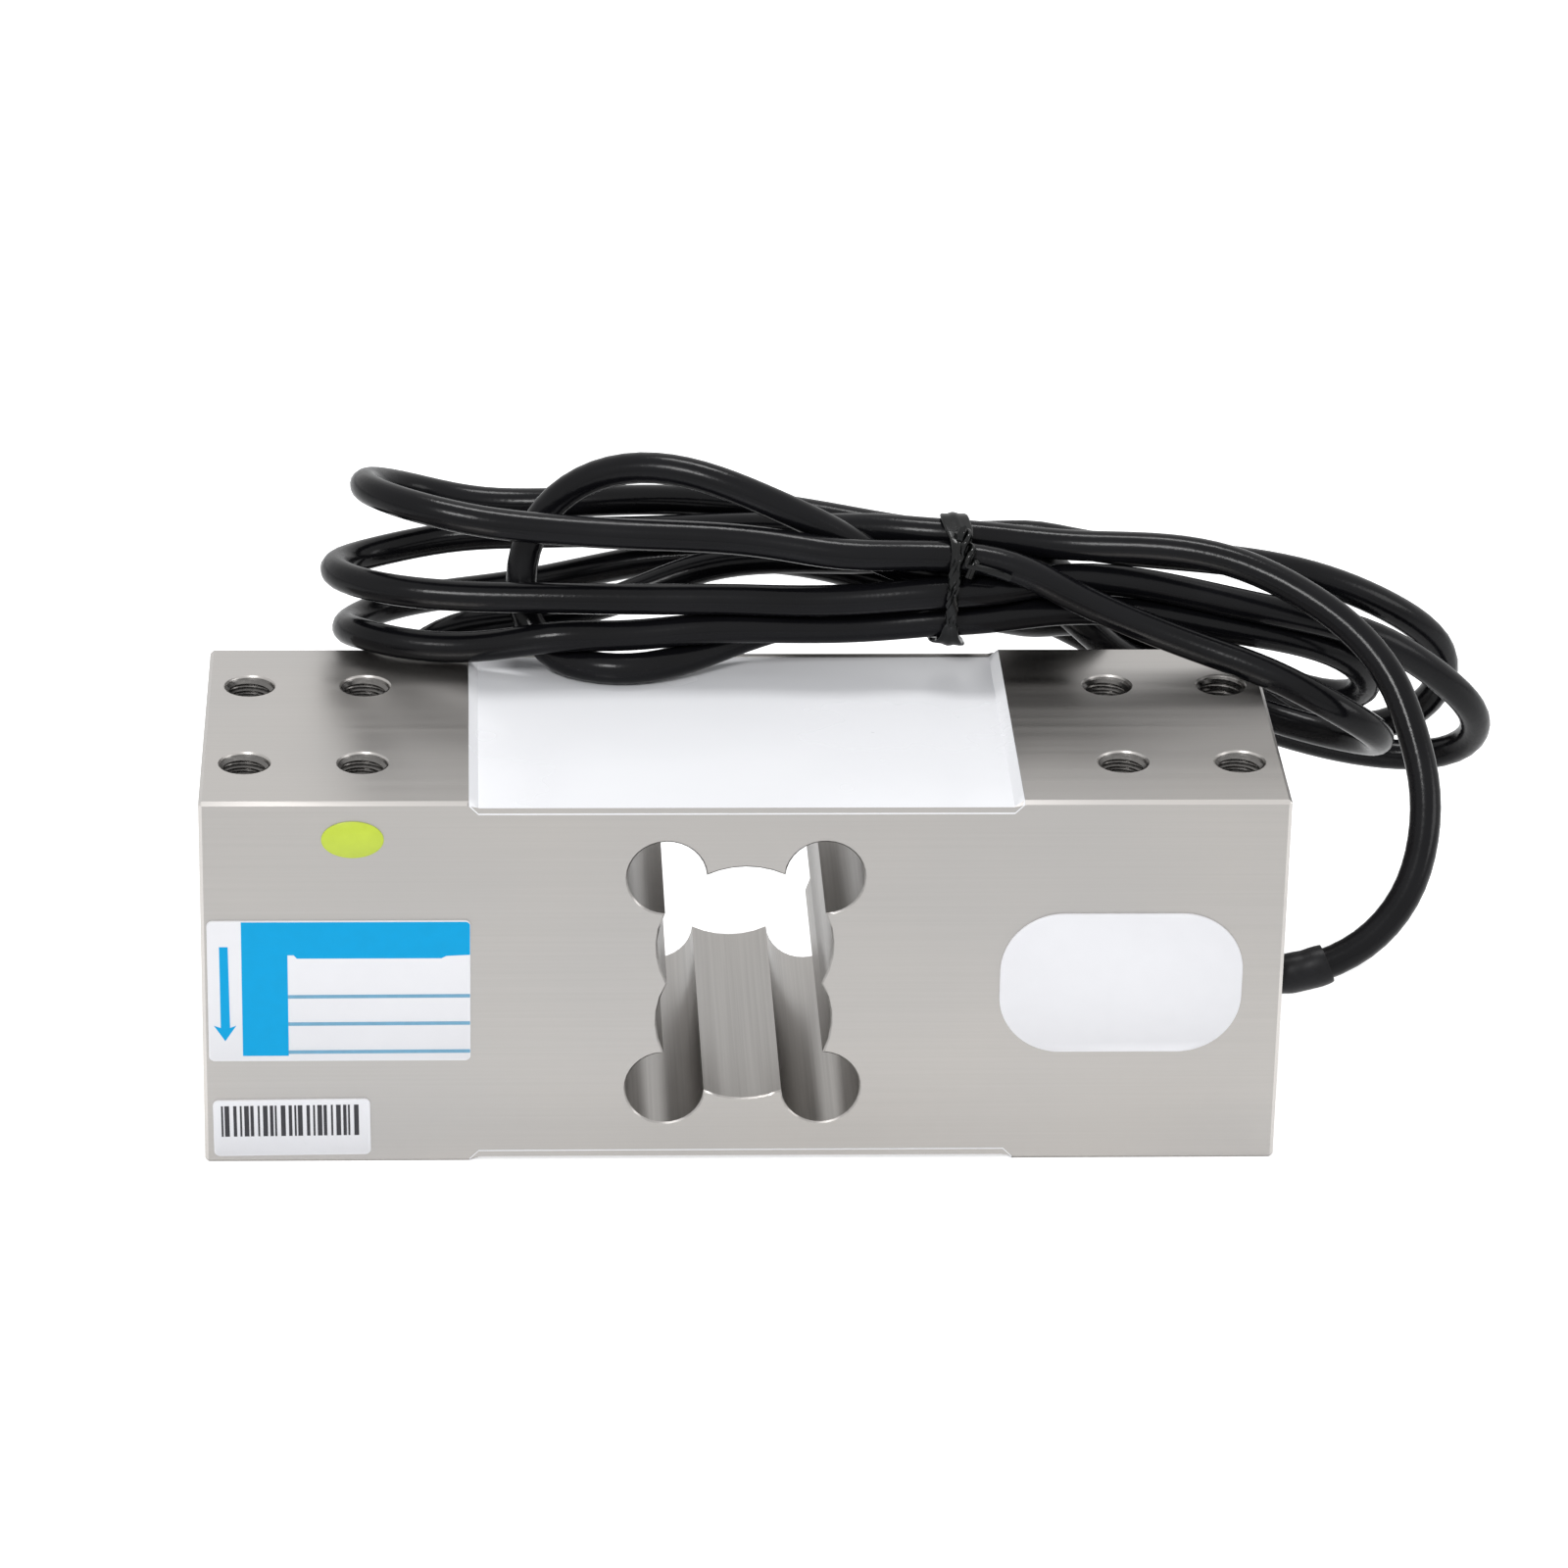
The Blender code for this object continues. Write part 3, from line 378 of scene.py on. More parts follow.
def remap(tree, value, span, target):
    """A number that goes through the target as the value goes through the span."""
    values = {
        "Value": value, "From Min": span[0], "From Max": span[1],
        "To Min": target[0], "To Max": target[1],
    }
    return add_node(tree, "ShaderNodeMapRange", values).outputs["Result"]


def bump(tree, shader, heights, distance, strength=1.0):
    """Bump from one or more height outputs, one after another."""
    before = {}
    for height in heights:
        values = {"Height": height, "Distance": distance, "Strength": strength, **before}
        before = {"Normal": add_node(tree, "ShaderNodeBump", values).outputs["Normal"]}
    feed(shader, before)


def scaled(colour, factor):
    """The colour times the factor, no part of it above 1."""
    return tuple(min(1.0, part * factor) for part in colour)


def metal_finish(name, colour, along, roughness, anisotropic, spread):
    """Cut metal: fine straight tool lines along one axis, broader tool bands, and faint clouds."""
    made, tree, shader = node_material(name, colour, sum(roughness) / 2, 1.0)
    across = {axis: 0.0 if axis == along else 1.0 for axis in "XYZ"}
    fine = noise(tree, [18 if axis == along else 2600 for axis in "XYZ"])
    band = noise(tree, [3 if axis == along else 320 for axis in "XYZ"], 2.0)
    cloud = noise(tree, (22, 22, 30), 2.0)
    lines = blend_colours(tree, fine, scaled(colour, 1 - spread), scaled(colour, 1 + spread))
    clouds = blend_colours(tree, cloud, (0.955, 0.96, 0.965), (1.0, 0.995, 0.985))
    feed(shader, {
        "Base Color": multiply_colours(tree, lines, clouds),
        "Roughness": remap(tree, band, NOISE_SPAN, roughness),
        "Anisotropic": anisotropic,
        "Tangent": add_node(tree, "ShaderNodeCombineXYZ", across).outputs["Vector"],
    })
    bump(tree, shader, (fine, band), 0.000012, 0.5)
    return made


def plain_finish(
    name, colour, roughness, spread=0.06, scale=900, relief=0.00002, metallic=0.0, specular=0.5
):
    """A finish with slight, fine variation of colour, gloss and height."""
    made, tree, shader = node_material(name, colour, roughness, metallic)
    grain = noise(tree, (scale, scale, scale))
    feed(shader, {
        "Specular IOR Level": specular,
        "Base Color": blend_colours(
            tree, grain, scaled(colour, 1 - spread), scaled(colour, 1 + spread)
        ),
        "Roughness": remap(tree, grain, NOISE_SPAN, (roughness * 0.88, roughness * 1.12)),
    })
    bump(tree, shader, (grain,), relief)
    return made


def cable_finish():
    """Glossy black vinyl with a faint orange peel and slow changes of gloss."""
    made, tree, shader = node_material("cable_jacket", BLACK_JACKET, 0.20, 0.0)
    peel = noise(tree, (1500, 1500, 1500), 2.0)
    slow = noise(tree, (60, 90, 90), 2.0)
    feed(shader, {
        "Specular IOR Level": 0.16,
        "Base Color": blend_colours(
            tree, slow, scaled(BLACK_JACKET, 0.8), scaled(BLACK_JACKET, 1.35)
        ),
        "Roughness": remap(tree, slow, NOISE_SPAN, (0.16, 0.24)),
    })
    bump(tree, shader, (peel,), 0.00002)
    return made


def make_looks():
    """Every finish by its short name."""
    looks = {
        "body": metal_finish("milled_aluminium", ALUMINIUM, "X", (0.37, 0.43), 0.25, 0.02),
        "pad": metal_finish("milled_pad", scaled(ALUMINIUM, 1.05), "X", (0.31, 0.36), 0.0, 0.02),
        # The block's broken outer edges are made lighter than the aluminium: a painted highlight
        # along the chamfers
        "edge": metal_finish("broken_edge_painted_highlight", scaled(ALUMINIUM, 1.30), "X", (0.30, 0.36), 0.0, 0.02),
        # The cut-out's walls and broken edges: real tool lines along Y, and a darker tone that is
        # painted shade inside the opening and on its rims
        "bore": metal_finish(
            "bored_aluminium_painted_shade", scaled(ALUMINIUM, 0.83), "Y", (0.27, 0.36), 0.3, 0.07
        ),
        "cable": cable_finish(),
        # The thread look, also used on the tapped holes' walls and floors, is darkened to about a
        # third of the aluminium's colour: painted shade inside the holes
        "thread": plain_finish(
            "cut_thread_painted_shade", scaled(ALUMINIUM, 0.34), 0.28, 0.08, 1400, 0.00001, 1.0
        ),
        "sleeve": plain_finish(
            "shrink_sleeve", (0.006, 0.006, 0.0072), 0.42, 0.2, 1200, specular=0.20
        ),
        "tie": plain_finish(
            "tie_plastic", (0.004, 0.0045, 0.0045), 0.12, 0.2, 800, 0.00001, specular=0.28
        ),
        "label": plain_finish("white_label", WHITE_LABEL, 0.38, 0.008, 260),
        "sheet": plain_finish("white_sheet", WHITE_SHEET, 0.26, 0.004, 40, 0.00012, specular=0.65),
        "blue": plain_finish("blue_print", PRINT_BLUE, 0.36, 0.02, 500, specular=0.15),
        "rule": plain_finish("rule_print", RULE_BLUE, 0.36, 0.05),
        "bars": plain_finish("bar_print", BAR_BLACK, 0.42, 0.15, 1500),
        "oval": plain_finish("lime_sticker", LIME, 0.33, 0.03, 420),
        "gauge": plain_finish("gauge_foil", (0.62, 0.33, 0.12), 0.35, 0.15, 2600, metallic=0.6),
        "terminal": plain_finish("terminal", (0.70, 0.36, 0.20), 0.35, 0.1, 1500, metallic=0.8),
        "sealant": plain_finish("sealant", (0.80, 0.80, 0.78), 0.55, 0.04, 240, 0.0001),
        "wires": plain_finish("enamelled_wire", (0.45, 0.16, 0.06), 0.35, 0.15, 1800),
        "board": plain_finish("board", (0.03, 0.20, 0.07), 0.45, 0.2),
        "resistor": plain_finish("resistor", (0.03, 0.03, 0.035), 0.40, 0.2, 1500),
        "steel": plain_finish("plated_steel", (0.55, 0.55, 0.56), 0.30, 0.08, 1200, metallic=1.0),
        "tinned": plain_finish("tinned_strand", (0.66, 0.64, 0.60), 0.32, 0.12, 2400, metallic=1.0),
    }
    for colour, rgb in CORE_COLOURS.items():
        looks[colour] = plain_finish(f"core_{colour}", rgb, 0.42, scale=1200)
    return looks


def new_object(name, data):
    """A new object in the scene."""
    obj = bpy.data.objects.new(name, data)
    bpy.context.scene.collection.objects.link(obj)
    return obj


def new_mesh(name, bm, look):
    """A mesh made from bm, with one finish."""
    mesh = bpy.data.meshes.new(name)
    bm.to_mesh(mesh)
    bm.free()
    mesh.materials.append(look)
    return mesh


def add_mesh(name, bm, look, replaced=(), smooth_angle=None):
    """Turns bm into a piece that rides with the object."""
    bmesh.ops.recalc_face_normals(bm, faces=bm.faces)
    mesh = new_mesh(name, bm, look)
    if smooth_angle is not None:
        mesh.shade_smooth()
        mesh.set_sharp_from_angle(angle=smooth_angle)
    return as_piece(new_object(name, mesh), replaced)


def as_piece(obj, replaced=()):
    """Lets an object ride with the part, in place of the solids that it replaces."""
    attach(obj, "root")
    if replaced:
        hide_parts(*replaced)
    return obj


def loft(bm, rings, closed=False):
    """Joins rings of equally many points, with flat ends or as one closed band."""
    rows = [[bm.verts.new(point) for point in ring] for ring in rings]
    count = len(rows[0])
    pairs = list(zip(rows, rows[1:]))
    if closed:
        pairs.append((rows[-1], rows[0]))
    for lower, upper in pairs:
        for i in range(count):
            j = (i + 1) % count
            bm.faces.new((lower[i], lower[j], upper[j], upper[i]))
    if not closed:
        bm.faces.new(reversed(rows[0]))
        bm.faces.new(rows[-1])


def smooth_curve(knots, spacing):
    """Evenly spaced points on a natural cubic spline, with centripetal steps between its knots."""
    knots = np.array(knots, float)
    steps = np.sqrt(np.linalg.norm(np.diff(knots, axis=0), axis=1))
    at = np.concatenate([[0.0], np.cumsum(steps)])
    count = len(knots)
    system, right = np.eye(count), np.zeros_like(knots)
    slopes = np.diff(knots, axis=0) / steps[:, None]
    for i in range(1, count - 1):
        system[i, i - 1 : i + 2] = steps[i - 1], 2 * (steps[i - 1] + steps[i]), steps[i]
        right[i] = 6 * (slopes[i] - slopes[i - 1])
    bend = np.linalg.solve(system, right)
    fine = np.linspace(0, at[-1], 60 * count)
    span = np.clip(np.searchsorted(at, fine, side="right") - 1, 0, count - 2)
    width = steps[span][:, None]
    a = (at[span + 1] - fine)[:, None] / width
    b = 1 - a
    curve = a * knots[span] + b * knots[span + 1]
    curve += ((a**3 - a) * bend[span] + (b**3 - b) * bend[span + 1]) * width**2 / 6
    return even_points(curve, spacing)


def even_points(points, spacing):
    """The same line with evenly spaced points."""
    length = lengths_along(points)[-1]
    return places_along(points, np.linspace(0, length, max(2, round(length / spacing) + 1)))


def lengths_along(points):
    """The length of the line from its start to each of its points."""
    steps = np.linalg.norm(np.diff(points, axis=0), axis=1)
    return np.concatenate([[0.0], np.cumsum(steps)])


def places_along(points, lengths):
    """The places on the line at the given lengths from its start."""
    run = lengths_along(points)
    return np.stack([np.interp(lengths, run, points[:, k]) for k in range(3)], axis=1)


def in_metres(points):
    return [tuple(part / ROUTE_PER_METRE for part in point) for point in points]


def cable_guide():
    """The listed points of the whole cable, in order, with its passes through the tie."""
    lead = [(END_X + x, CABLE_Y + y, CABLE_Z + z) for x, y, z in in_metres(LEAD)]
    guide, to_left = list(lead), True
    for points, slot in PASSES:
        if slot is not None:
            steps = (TIE_STEP, 0.0, -TIE_STEP) if to_left else (-TIE_STEP, 0.0, TIE_STEP)
            guide += [(TIE_X + step, *slot) for step in steps]
            to_left = not to_left
        guide += in_metres(points)
    return lead, guide


def keep_spacing(points, free):
    """Draws neighbours along the cable back towards their even spacing."""
    for _ in range(2):
        step = points[1:] - points[:-1]
        length = np.linalg.norm(step, axis=1)[:, None]
        move = SETTLE_SPACING * (length - CABLE_SPACING) * step / length
        points[:-1] += move * free[:-1, None]
        points[1:] -= move * free[1:, None]


def ease_bends(points, free):
    """Moves each point so that the bend changes smoothly from point to point."""
    sag = np.zeros_like(points)
    sag[1:-1] = 0.5 * (points[2:] + points[:-2]) - points[1:-1]
    change = np.zeros_like(points)
    change[1:-1] = 0.5 * (sag[2:] + sag[:-2]) - sag[1:-1]
    points -= SETTLE_EASE * change * free[:, None]


def push_strands_apart(points, free, far):
    """Pushes points of different strands apart where they are closer than the wanted distance."""
    gap = points[:, None, :] - points[None, :, :]
    squared = (gap**2).sum(-1)
    first, second = np.nonzero((squared < SETTLE_APART**2) & far)
    if not len(first):
        return
    apart = np.sqrt(squared[first, second])[:, None]
    push = SETTLE_PUSH * (SETTLE_APART - apart) * gap[first, second] / np.maximum(apart, TINY)
    total, touches = np.zeros_like(points), np.zeros(len(points))
    np.add.at(total, first, push)
    np.add.at(total, second, -push)
    np.add.at(touches, first, 1)
    np.add.at(touches, second, 1)
    points += total / np.maximum(1, 0.5 * touches)[:, None] * free[:, None]


def hold_in_tie(points):
    """Draws the strands inside the tie's ring."""
    near = np.abs(points[:, 0] - TIE_X) < TIE_HOLD
    off = points[near][:, 1:] - np.array(TIE_MIDDLE)
    reach = np.linalg.norm(off, axis=1)[:, None]
    outside = np.maximum(0, reach - TIE_INNER_RADIUS)
    points[near, 1:] -= SETTLE_HOLD * off / np.maximum(reach, TINY) * outside


def keep_off_body(points, free):
    """Moves points out of the body's box, less its top recess, grown by the cable's radius."""
    radius = CABLE_DIAMETER / 2
    high = np.tile(np.array(BODY_HIGH), (len(points), 1))
    into_recess = (END_X - PAD_LENGTH - RECESS_DEPTH - np.abs(points[:, 0])) / RECESS_EASE
    high[:, 2] -= np.clip(into_recess, 0, 1) * (RECESS_DEPTH - SHEET_ROOM)
    nearest = np.clip(points, np.array(BODY_LOW), high)
    out = points - nearest
    reach = np.linalg.norm(out, axis=1)
    touching = (reach > TINY) & (reach < radius) & free
    points[touching] = nearest[touching] + out[touching] / reach[touching][:, None] * radius
    for i in np.nonzero((reach <= TINY) & free)[0]:
        axis = int(np.argmin(high[i] - points[i]))
        points[i][axis] = high[i][axis] + radius


def settle_cable():
    """Lays the strands beside each other, a diameter apart, near their chosen places."""
    lead, guide = cable_guide()
    points = smooth_curve(guide, CABLE_SPACING)
    wanted = points.copy()
    count = len(points)
    held = int(lengths_along(smooth_curve(lead, CABLE_SPACING))[-1] / CABLE_SPACING)
    free = np.arange(count) >= held
    order = np.arange(count)
    far = order[None, :] - order[:, None] > ALONG_ITSELF
    for turn in range(SETTLE_ROUNDS):
        pull = SETTLE_PULL * (1 - SETTLE_PULL_LOSS * turn / SETTLE_ROUNDS)
        points[free] += pull * (wanted[free] - points[free])
        keep_spacing(points, free)
        ease_bends(points, free)
        push_strands_apart(points, free, far)
        hold_in_tie(points)
        keep_off_body(points, free)
    return points


def tube_curve(name, points, diameter, look, sides):
    """A round cord on a straight-segment spline, shaded smooth."""
    curve = bpy.data.curves.new(name, "CURVE")
    curve.dimensions = "3D"
    curve.bevel_depth = diameter / 2
    curve.bevel_resolution = sides
    curve.use_fill_caps = True
    spline = curve.splines.new("POLY")
    spline.points.add(len(points) - 1)
    for point, place in zip(spline.points, points):
        point.co = (*[float(part) for part in place], 1)
    spline.use_smooth = True
    curve.materials.append(look)
    return new_object(name, curve)


def make_camera():
    forward = Vector((
        sin(CAMERA_YAW) * cos(CAMERA_PITCH),
        cos(CAMERA_YAW) * cos(CAMERA_PITCH),
        -sin(CAMERA_PITCH),
    ))
    level = Vector((cos(CAMERA_YAW), -sin(CAMERA_YAW), 0))
    upright = level.cross(forward)
    right = cos(CAMERA_ROLL) * level + sin(CAMERA_ROLL) * upright
    up = cos(CAMERA_ROLL) * upright - sin(CAMERA_ROLL) * level
    data = bpy.data.cameras.new("camera")
    data.sensor_fit = "HORIZONTAL"
    data.sensor_width = CAMERA_SENSOR
    data.lens = CAMERA_LENS
    data.clip_start = 0.05
    data.clip_end = 20.0
    camera = new_object("camera", data)
    turn = Matrix((right, up, -forward)).transposed().to_4x4()
    camera.matrix_world = Matrix.Translation(CAMERA_PLACE) @ turn
    bpy.context.scene.camera = camera


def sweep(bm, points, profile_at, closed=False):
    """Sweeps a profile along points. profile_at gives pairs in the two side directions."""
    points = [Vector(point) for point in points]
    count = len(points)
    rings, side = [], Vector((1, 0, 0))
    for i, point in enumerate(points):
        before = points[i - 1] if closed or i else point
        after = points[(i + 1) % count] if closed or i < count - 1 else point
        along = (after - before).normalized()
        side = (side - along * side.dot(along)).normalized()
        other = along.cross(side)
        rings.append([point + side * a + other * b for a, b in profile_at(i / count)])
    loft(bm, rings, closed=closed)


def oval(reach_a, reach_b, sides):
    """Points round an oval, or round a circle if both reaches are the same."""
    turns = [2 * pi * k / sides for k in range(sides)]
    return [(reach_a * cos(turn), reach_b * sin(turn)) for turn in turns]


def tie_loop(points, reach):
    """The line round the bundle at the tie: the hull of the strands there, grown by reach."""
    near = points[np.abs(points[:, 0] - STRIP_X) < STRIP_REACH][:, 1:]
    turns = np.linspace(0, 2 * pi, 181)[:-1]
    ways = np.stack([np.cos(turns), np.sin(turns)], axis=1)
    support = near[np.argmax(near @ ways.T, axis=0)] + reach * ways
    loop = np.concatenate([np.full((len(support), 1), STRIP_X), support], axis=1)
    return even_points(np.concatenate([loop, loop[:1]]), STRIP_SPACING)[:-1]


def strip_profile(half_width, thickness):
    """A flat strip with round edges and a raised core wire along its middle."""
    deep = thickness / 2
    side = [
        (half_width, 0), (half_width * 0.97, deep * 0.55), (half_width * 0.86, deep * 0.85),
        (half_width * 0.42, deep * 0.80), (half_width * 0.20, deep * 1.25), (0, deep * 1.45),
    ]
    upper = side + [(-a, b) for a, b in reversed(side[:-1])]
    return upper + [(a, -b) for a, b in reversed(upper[1:-1])]


def twisted_pair(start):
    """Two lines wound round each other from start, as the ends of a twisted tie are."""
    side = KNOT_ALONG.cross(KNOT_OUTWARD).normalized()
    lines = []
    for way in (0, pi):
        line = []
        for step in range(KNOT_STEPS + 1):
            share = step / KNOT_STEPS
            turn = way + KNOT_TURNS * 2 * pi * share
            spread = KNOT_RADIUS * min(1.0, KNOT_FIRST_SPREAD + KNOT_OPENING * share)
            line.append(
                start + KNOT_ALONG * KNOT_LENGTH * share
                + KNOT_OUTWARD * spread * cos(turn) + side * spread * sin(turn)
            )
        lines.append(line)
    return lines


def turned(profile, angle):
    """Pairs turned about their origin."""
    return [
        (a * cos(angle) - b * sin(angle), a * sin(angle) + b * cos(angle)) for a, b in profile
    ]


def between(value, low, high):
    """A smooth step from 0 to 1 as the value goes from low to high."""
    share = min(1.0, max(0.0, (value - low) / (high - low)))
    return share * share * (3 - 2 * share)


def over_span(value, start, full, end, gone):
    """1 between full and end, with smooth steps to 0 at start and gone."""
    return between(value, start, full) * (1 - between(value, end, gone))


def make_twist_tie(points, look):
    """A plastic-coated strip round the bundle, twisted down its front and knotted above."""
    loop = tie_loop(points, CABLE_DIAMETER / 2 + STRIP_THICKNESS / 2 + STRIP_CLEARANCE)
    middle = loop[:, 1:].mean(axis=0)
    turn = np.degrees(np.arctan2(loop[:, 2] - middle[1], loop[:, 1] - middle[0])) % 360
    for angle, spread, shift in STRIP_SHIFTS:
        loop += np.exp(-(((turn - angle) / spread) ** 2))[:, None] * np.array(shift)

    def strip(share):
        here = turn[int(share * len(loop)) % len(loop)]
        front = over_span(here, *STRIP_FRONT)
        half = STRIP_HALF_WIDTH - STRIP_FRONT_NARROWER * front
        half += STRIP_TOP_WIDER * over_span(here, *STRIP_TOP)
        half += STRIP_BASE_WIDER * over_span(here, *STRIP_BASE)
        thick = STRIP_THICKNESS * (1 + STRIP_FRONT_THICKER * front)
        return turned(strip_profile(half, thick), 2 * pi * between(here, *STRIP_TWIST))

    def tail_strip(tip):
        def profile(share):
            half = KNOT_HALF_WIDTH + (tip - KNOT_HALF_WIDTH) * share
            twist = KNOT_TAIL_TWIST * (1 - 2 * share)
            return turned(strip_profile(half, STRIP_THICKNESS), twist)
        return profile

    bm = bmesh.new()
    sweep(bm, loop, strip, closed=True)
    start_at = int(np.argmin(np.abs(turn - KNOT_ANGLE)))
    start = Vector(loop[start_at]) + KNOT_OUTWARD * KNOT_OFF_STRIP + Vector((0, 0, KNOT_RISE))
    for line, (away, reach, tip) in zip(twisted_pair(start), KNOT_TAILS):
        last = line[-1].copy()
        for step in range(1, KNOT_TAIL_STEPS + 1):
            share = step / KNOT_TAIL_STEPS
            line.append(last + away * reach * share - Vector((0, 0, KNOT_TAIL_DROP)) * share**2)
        sweep(bm, line, tail_strip(tip))
    return add_mesh("twist_tie", bm, look, ("cable_tie",), radians(50))


def make_sleeve(points, look):
    """The shrunk sleeve: snug on the cable, a little uneven, and drawn in at its end."""

    def profile(share):
        radius = SLEEVE_DIAMETER / 2
        radius += sum(height * sin(rate * share + shift) for height, rate, shift in SLEEVE_RIPPLES)
        if share > SLEEVE_LIP_FROM:
            radius -= SLEEVE_LIP_DEPTH * (share - SLEEVE_LIP_FROM) / (1 - SLEEVE_LIP_FROM)
        ring = []
        for k in range(SLEEVE_SIDES):
            turn = 2 * pi * k / SLEEVE_SIDES
            wave = 1 + sum(
                height * sin(turns * turn + drift * share) for height, turns, drift in SLEEVE_WAVES
            )
            ring.append((radius * wave * cos(turn), radius * wave * sin(turn)))
        return ring

    bm = bmesh.new()
    sweep(bm, places_along(points, np.linspace(0, SLEEVE_LENGTH, SLEEVE_STEPS)), profile)
    return add_mesh("shrink_sleeve", bm, look, ("cable_sleeve",), radians(40))


def make_bare_end(points, looks):
    """The stripped end: the foil of the screen and four cores with tinned tips."""
    tip, before = Vector(points[-1]), Vector(points[-4])
    along = (tip - before).normalized()
    side = along.cross(Vector((0, 1, 0))).normalized()
    other = along.cross(side)

    def foil(share):
        radius = FOIL_RADIUS + FOIL_UNEVEN * cos(9 * share)
        return oval(radius, radius, FOIL_SIDES)

    bm = bmesh.new()
    sweep(bm, [tip + along * reach for reach in FOIL_PLACES], foil)
    pieces = [add_mesh("screen_foil", bm, looks["tinned"], (), radians(40))]
    for i, colour in enumerate(CORE_COLOURS):
        turn = pi / 4 + i * pi / 2
        spread = side * cos(turn) + other * sin(turn)
        line = []
        for step in range(CORE_STEPS + 1):
            share = step / CORE_STEPS
            off_axis = spread * (CORE_APART + CORE_SPREAD * share**2)
            drop = Vector((0, 0, CORE_DROP)) * share**2
            line.append(tip + along * (CORE_START + CORE_LENGTH * share) + off_axis - drop)
        insulated, stripped = line[: CORE_INSULATED_STEPS + 1], line[CORE_INSULATED_STEPS:]
        core = tube_curve(f"bare_core_{colour}", insulated, CORE_DIAMETER, looks[colour], 3)
        pieces.append(as_piece(core))
        ends = tube_curve(f"tinned_tip_{colour}", stripped, STRAND_DIAMETER, looks["tinned"], 2)
        pieces.append(as_piece(ends))
    return pieces


def make_cable(looks):
    points = settle_cable()
    cable = tube_curve("load_cell_cable", points, CABLE_DIAMETER, looks["cable"], CABLE_SIDES)
    as_piece(cable, ("cable_lead", "cable_hank"))
    tie = make_twist_tie(points, looks["tie"])
    sleeve = make_sleeve(points, looks["sleeve"])
    ends = make_bare_end(points, looks)


def keep_wide_faces_flat(mesh):
    """Flat shading on every plane that holds much area, so that only bores are shaded round."""

    def plane(face):
        axis = max(range(3), key=lambda k: abs(face.normal[k]))
        if abs(face.normal[axis]) < 0.9999:
            return None
        return axis, round(face.center[axis], 5)

    areas = {}
    for face in mesh.polygons:
        areas[plane(face)] = areas.get(plane(face), 0.0) + face.area
    for face in mesh.polygons:
        if plane(face) is not None and areas[plane(face)] > WIDE_PLANE_AREA:
            face.use_smooth = False


def make_body(looks):
    """The spring body as packed, with its triangles joined and its bores shaded smooth."""
    bm = bmesh.new()
    bm.from_mesh(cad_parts["spring_body"].data)
    bmesh.ops.remove_doubles(bm, verts=bm.verts, dist=MERGE_DISTANCE)
    body = add_mesh(
        "machined_body", bm, looks["body"], ("spring_body",), SHARP_ANGLE
    )
    keep_wide_faces_flat(body.data)
    # The cut-out and the tapped holes get darker looks as painted shade, and the outer broken edges
    # a lighter one as a painted highlight
    tests = {
        "bore": in_cutout,
        "thread": in_tapped_hole,
        "pad": lambda face: abs(face.normal.z) > 0.9,
        "edge": on_outer_edge,
    }
    for look in tests:
        body.data.materials.append(looks[look])
    for face in body.data.polygons:
        for index, test in enumerate(tests.values(), start=1):
            if test(face):
                face.material_index = index
                break


def in_cutout(face):
    """Whether a face is part of the cut-out's walls or of their broken edges."""
    place = face.center
    inside = abs(place.x) < CUTOUT_REACH and CUTOUT_MARGIN < place.z < TOP_Z - CUTOUT_MARGIN
    return inside and face.use_smooth and abs(face.normal.y) < 0.9


def on_outer_edge(face):
    """Whether a face is part of the block's broken outer edges."""
    place = face.center
    gaps = (END_X - abs(place.x), BODY_HIGH.y - abs(place.y), min(place.z, TOP_Z - place.z))
    near = sum(gap < EDGE_BREAK for gap in gaps)
    return near >= 2 and max(abs(part) for part in face.normal) < 0.8


def in_tapped_hole(face):
    """Whether a face is part of a tapped hole's wall or floor, below its broken mouth."""
    x, y = abs(face.center.x), abs(face.center.y)
    depth = min(face.center.z, TOP_Z - face.center.z)
    if not TAP_MOUTH <= depth <= TAP_DEPTH or x <= END_X - PAD_LENGTH:
        return False
    off = x - (END_X - TAP_TO_END)
    gaps = (hypot(off + row * TAP_PITCH, y - TAP_SPREAD / 2) for row in (0, 1))
    return min(gaps) < TAP_RADIUS + TAP_SLACK


def thread_ridge(bm, x, y, top):
    """A right-handed V ridge that winds down one hole."""
    steps = ceil((THREAD_END - THREAD_START) / THREAD_PITCH * THREAD_STEPS)
    wall = TAP_RADIUS + THREAD_INTO_WALL
    rings = []
    for i in range(steps + 1):
        turn = 2 * pi * i / THREAD_STEPS
        depth = THREAD_START + THREAD_PITCH * i / THREAD_STEPS
        fade = min(1.0, i / THREAD_FADE_STEPS, (steps - i) / THREAD_FADE_STEPS)
        crest = wall - (wall - THREAD_CREST_RADIUS) * max(THREAD_LEAST_RIDGE, fade)
        ring = []
        for at_crest, shift in THREAD_PROFILE:
            radius = crest if at_crest else wall
            z = max(THREAD_INSET, depth + shift * THREAD_PITCH)
            along, across = radius * cos(turn), radius * sin(turn)
            ring.append((x + along, y - across, TOP_Z - z) if top else (x + along, y + across, z))
        rings.append(ring)
    loft(bm, rings)


def make_threads(looks):
    first = END_X - TAP_TO_END
    for side, top in (("top", True), ("base", False)):
        bm = bmesh.new()
        for end in (-1, 1):
            for row in (0, 1):
                for across in (-1, 1):
                    place = (end * (first - row * TAP_PITCH), across * TAP_SPREAD / 2)
                    thread_ridge(bm, *place, top)
        # The ridges take the thread look, whose dark tone is painted shade inside the holes
        add_mesh(f"threads_{side}", bm, looks["thread"], (), radians(35))


def label_place(box):
    """The middle of a label's box and half its size, each in X and Z."""
    low, high = (Vector(corner) for corner in box)
    middle = ((low.x + high.x) / 2, (low.z + high.z) / 2)
    return middle, ((high.x - low.x) / 2, (high.z - low.z) / 2)


def moved(outline, place):
    return [(place[0] + x, place[1] + z) for x, z in outline]


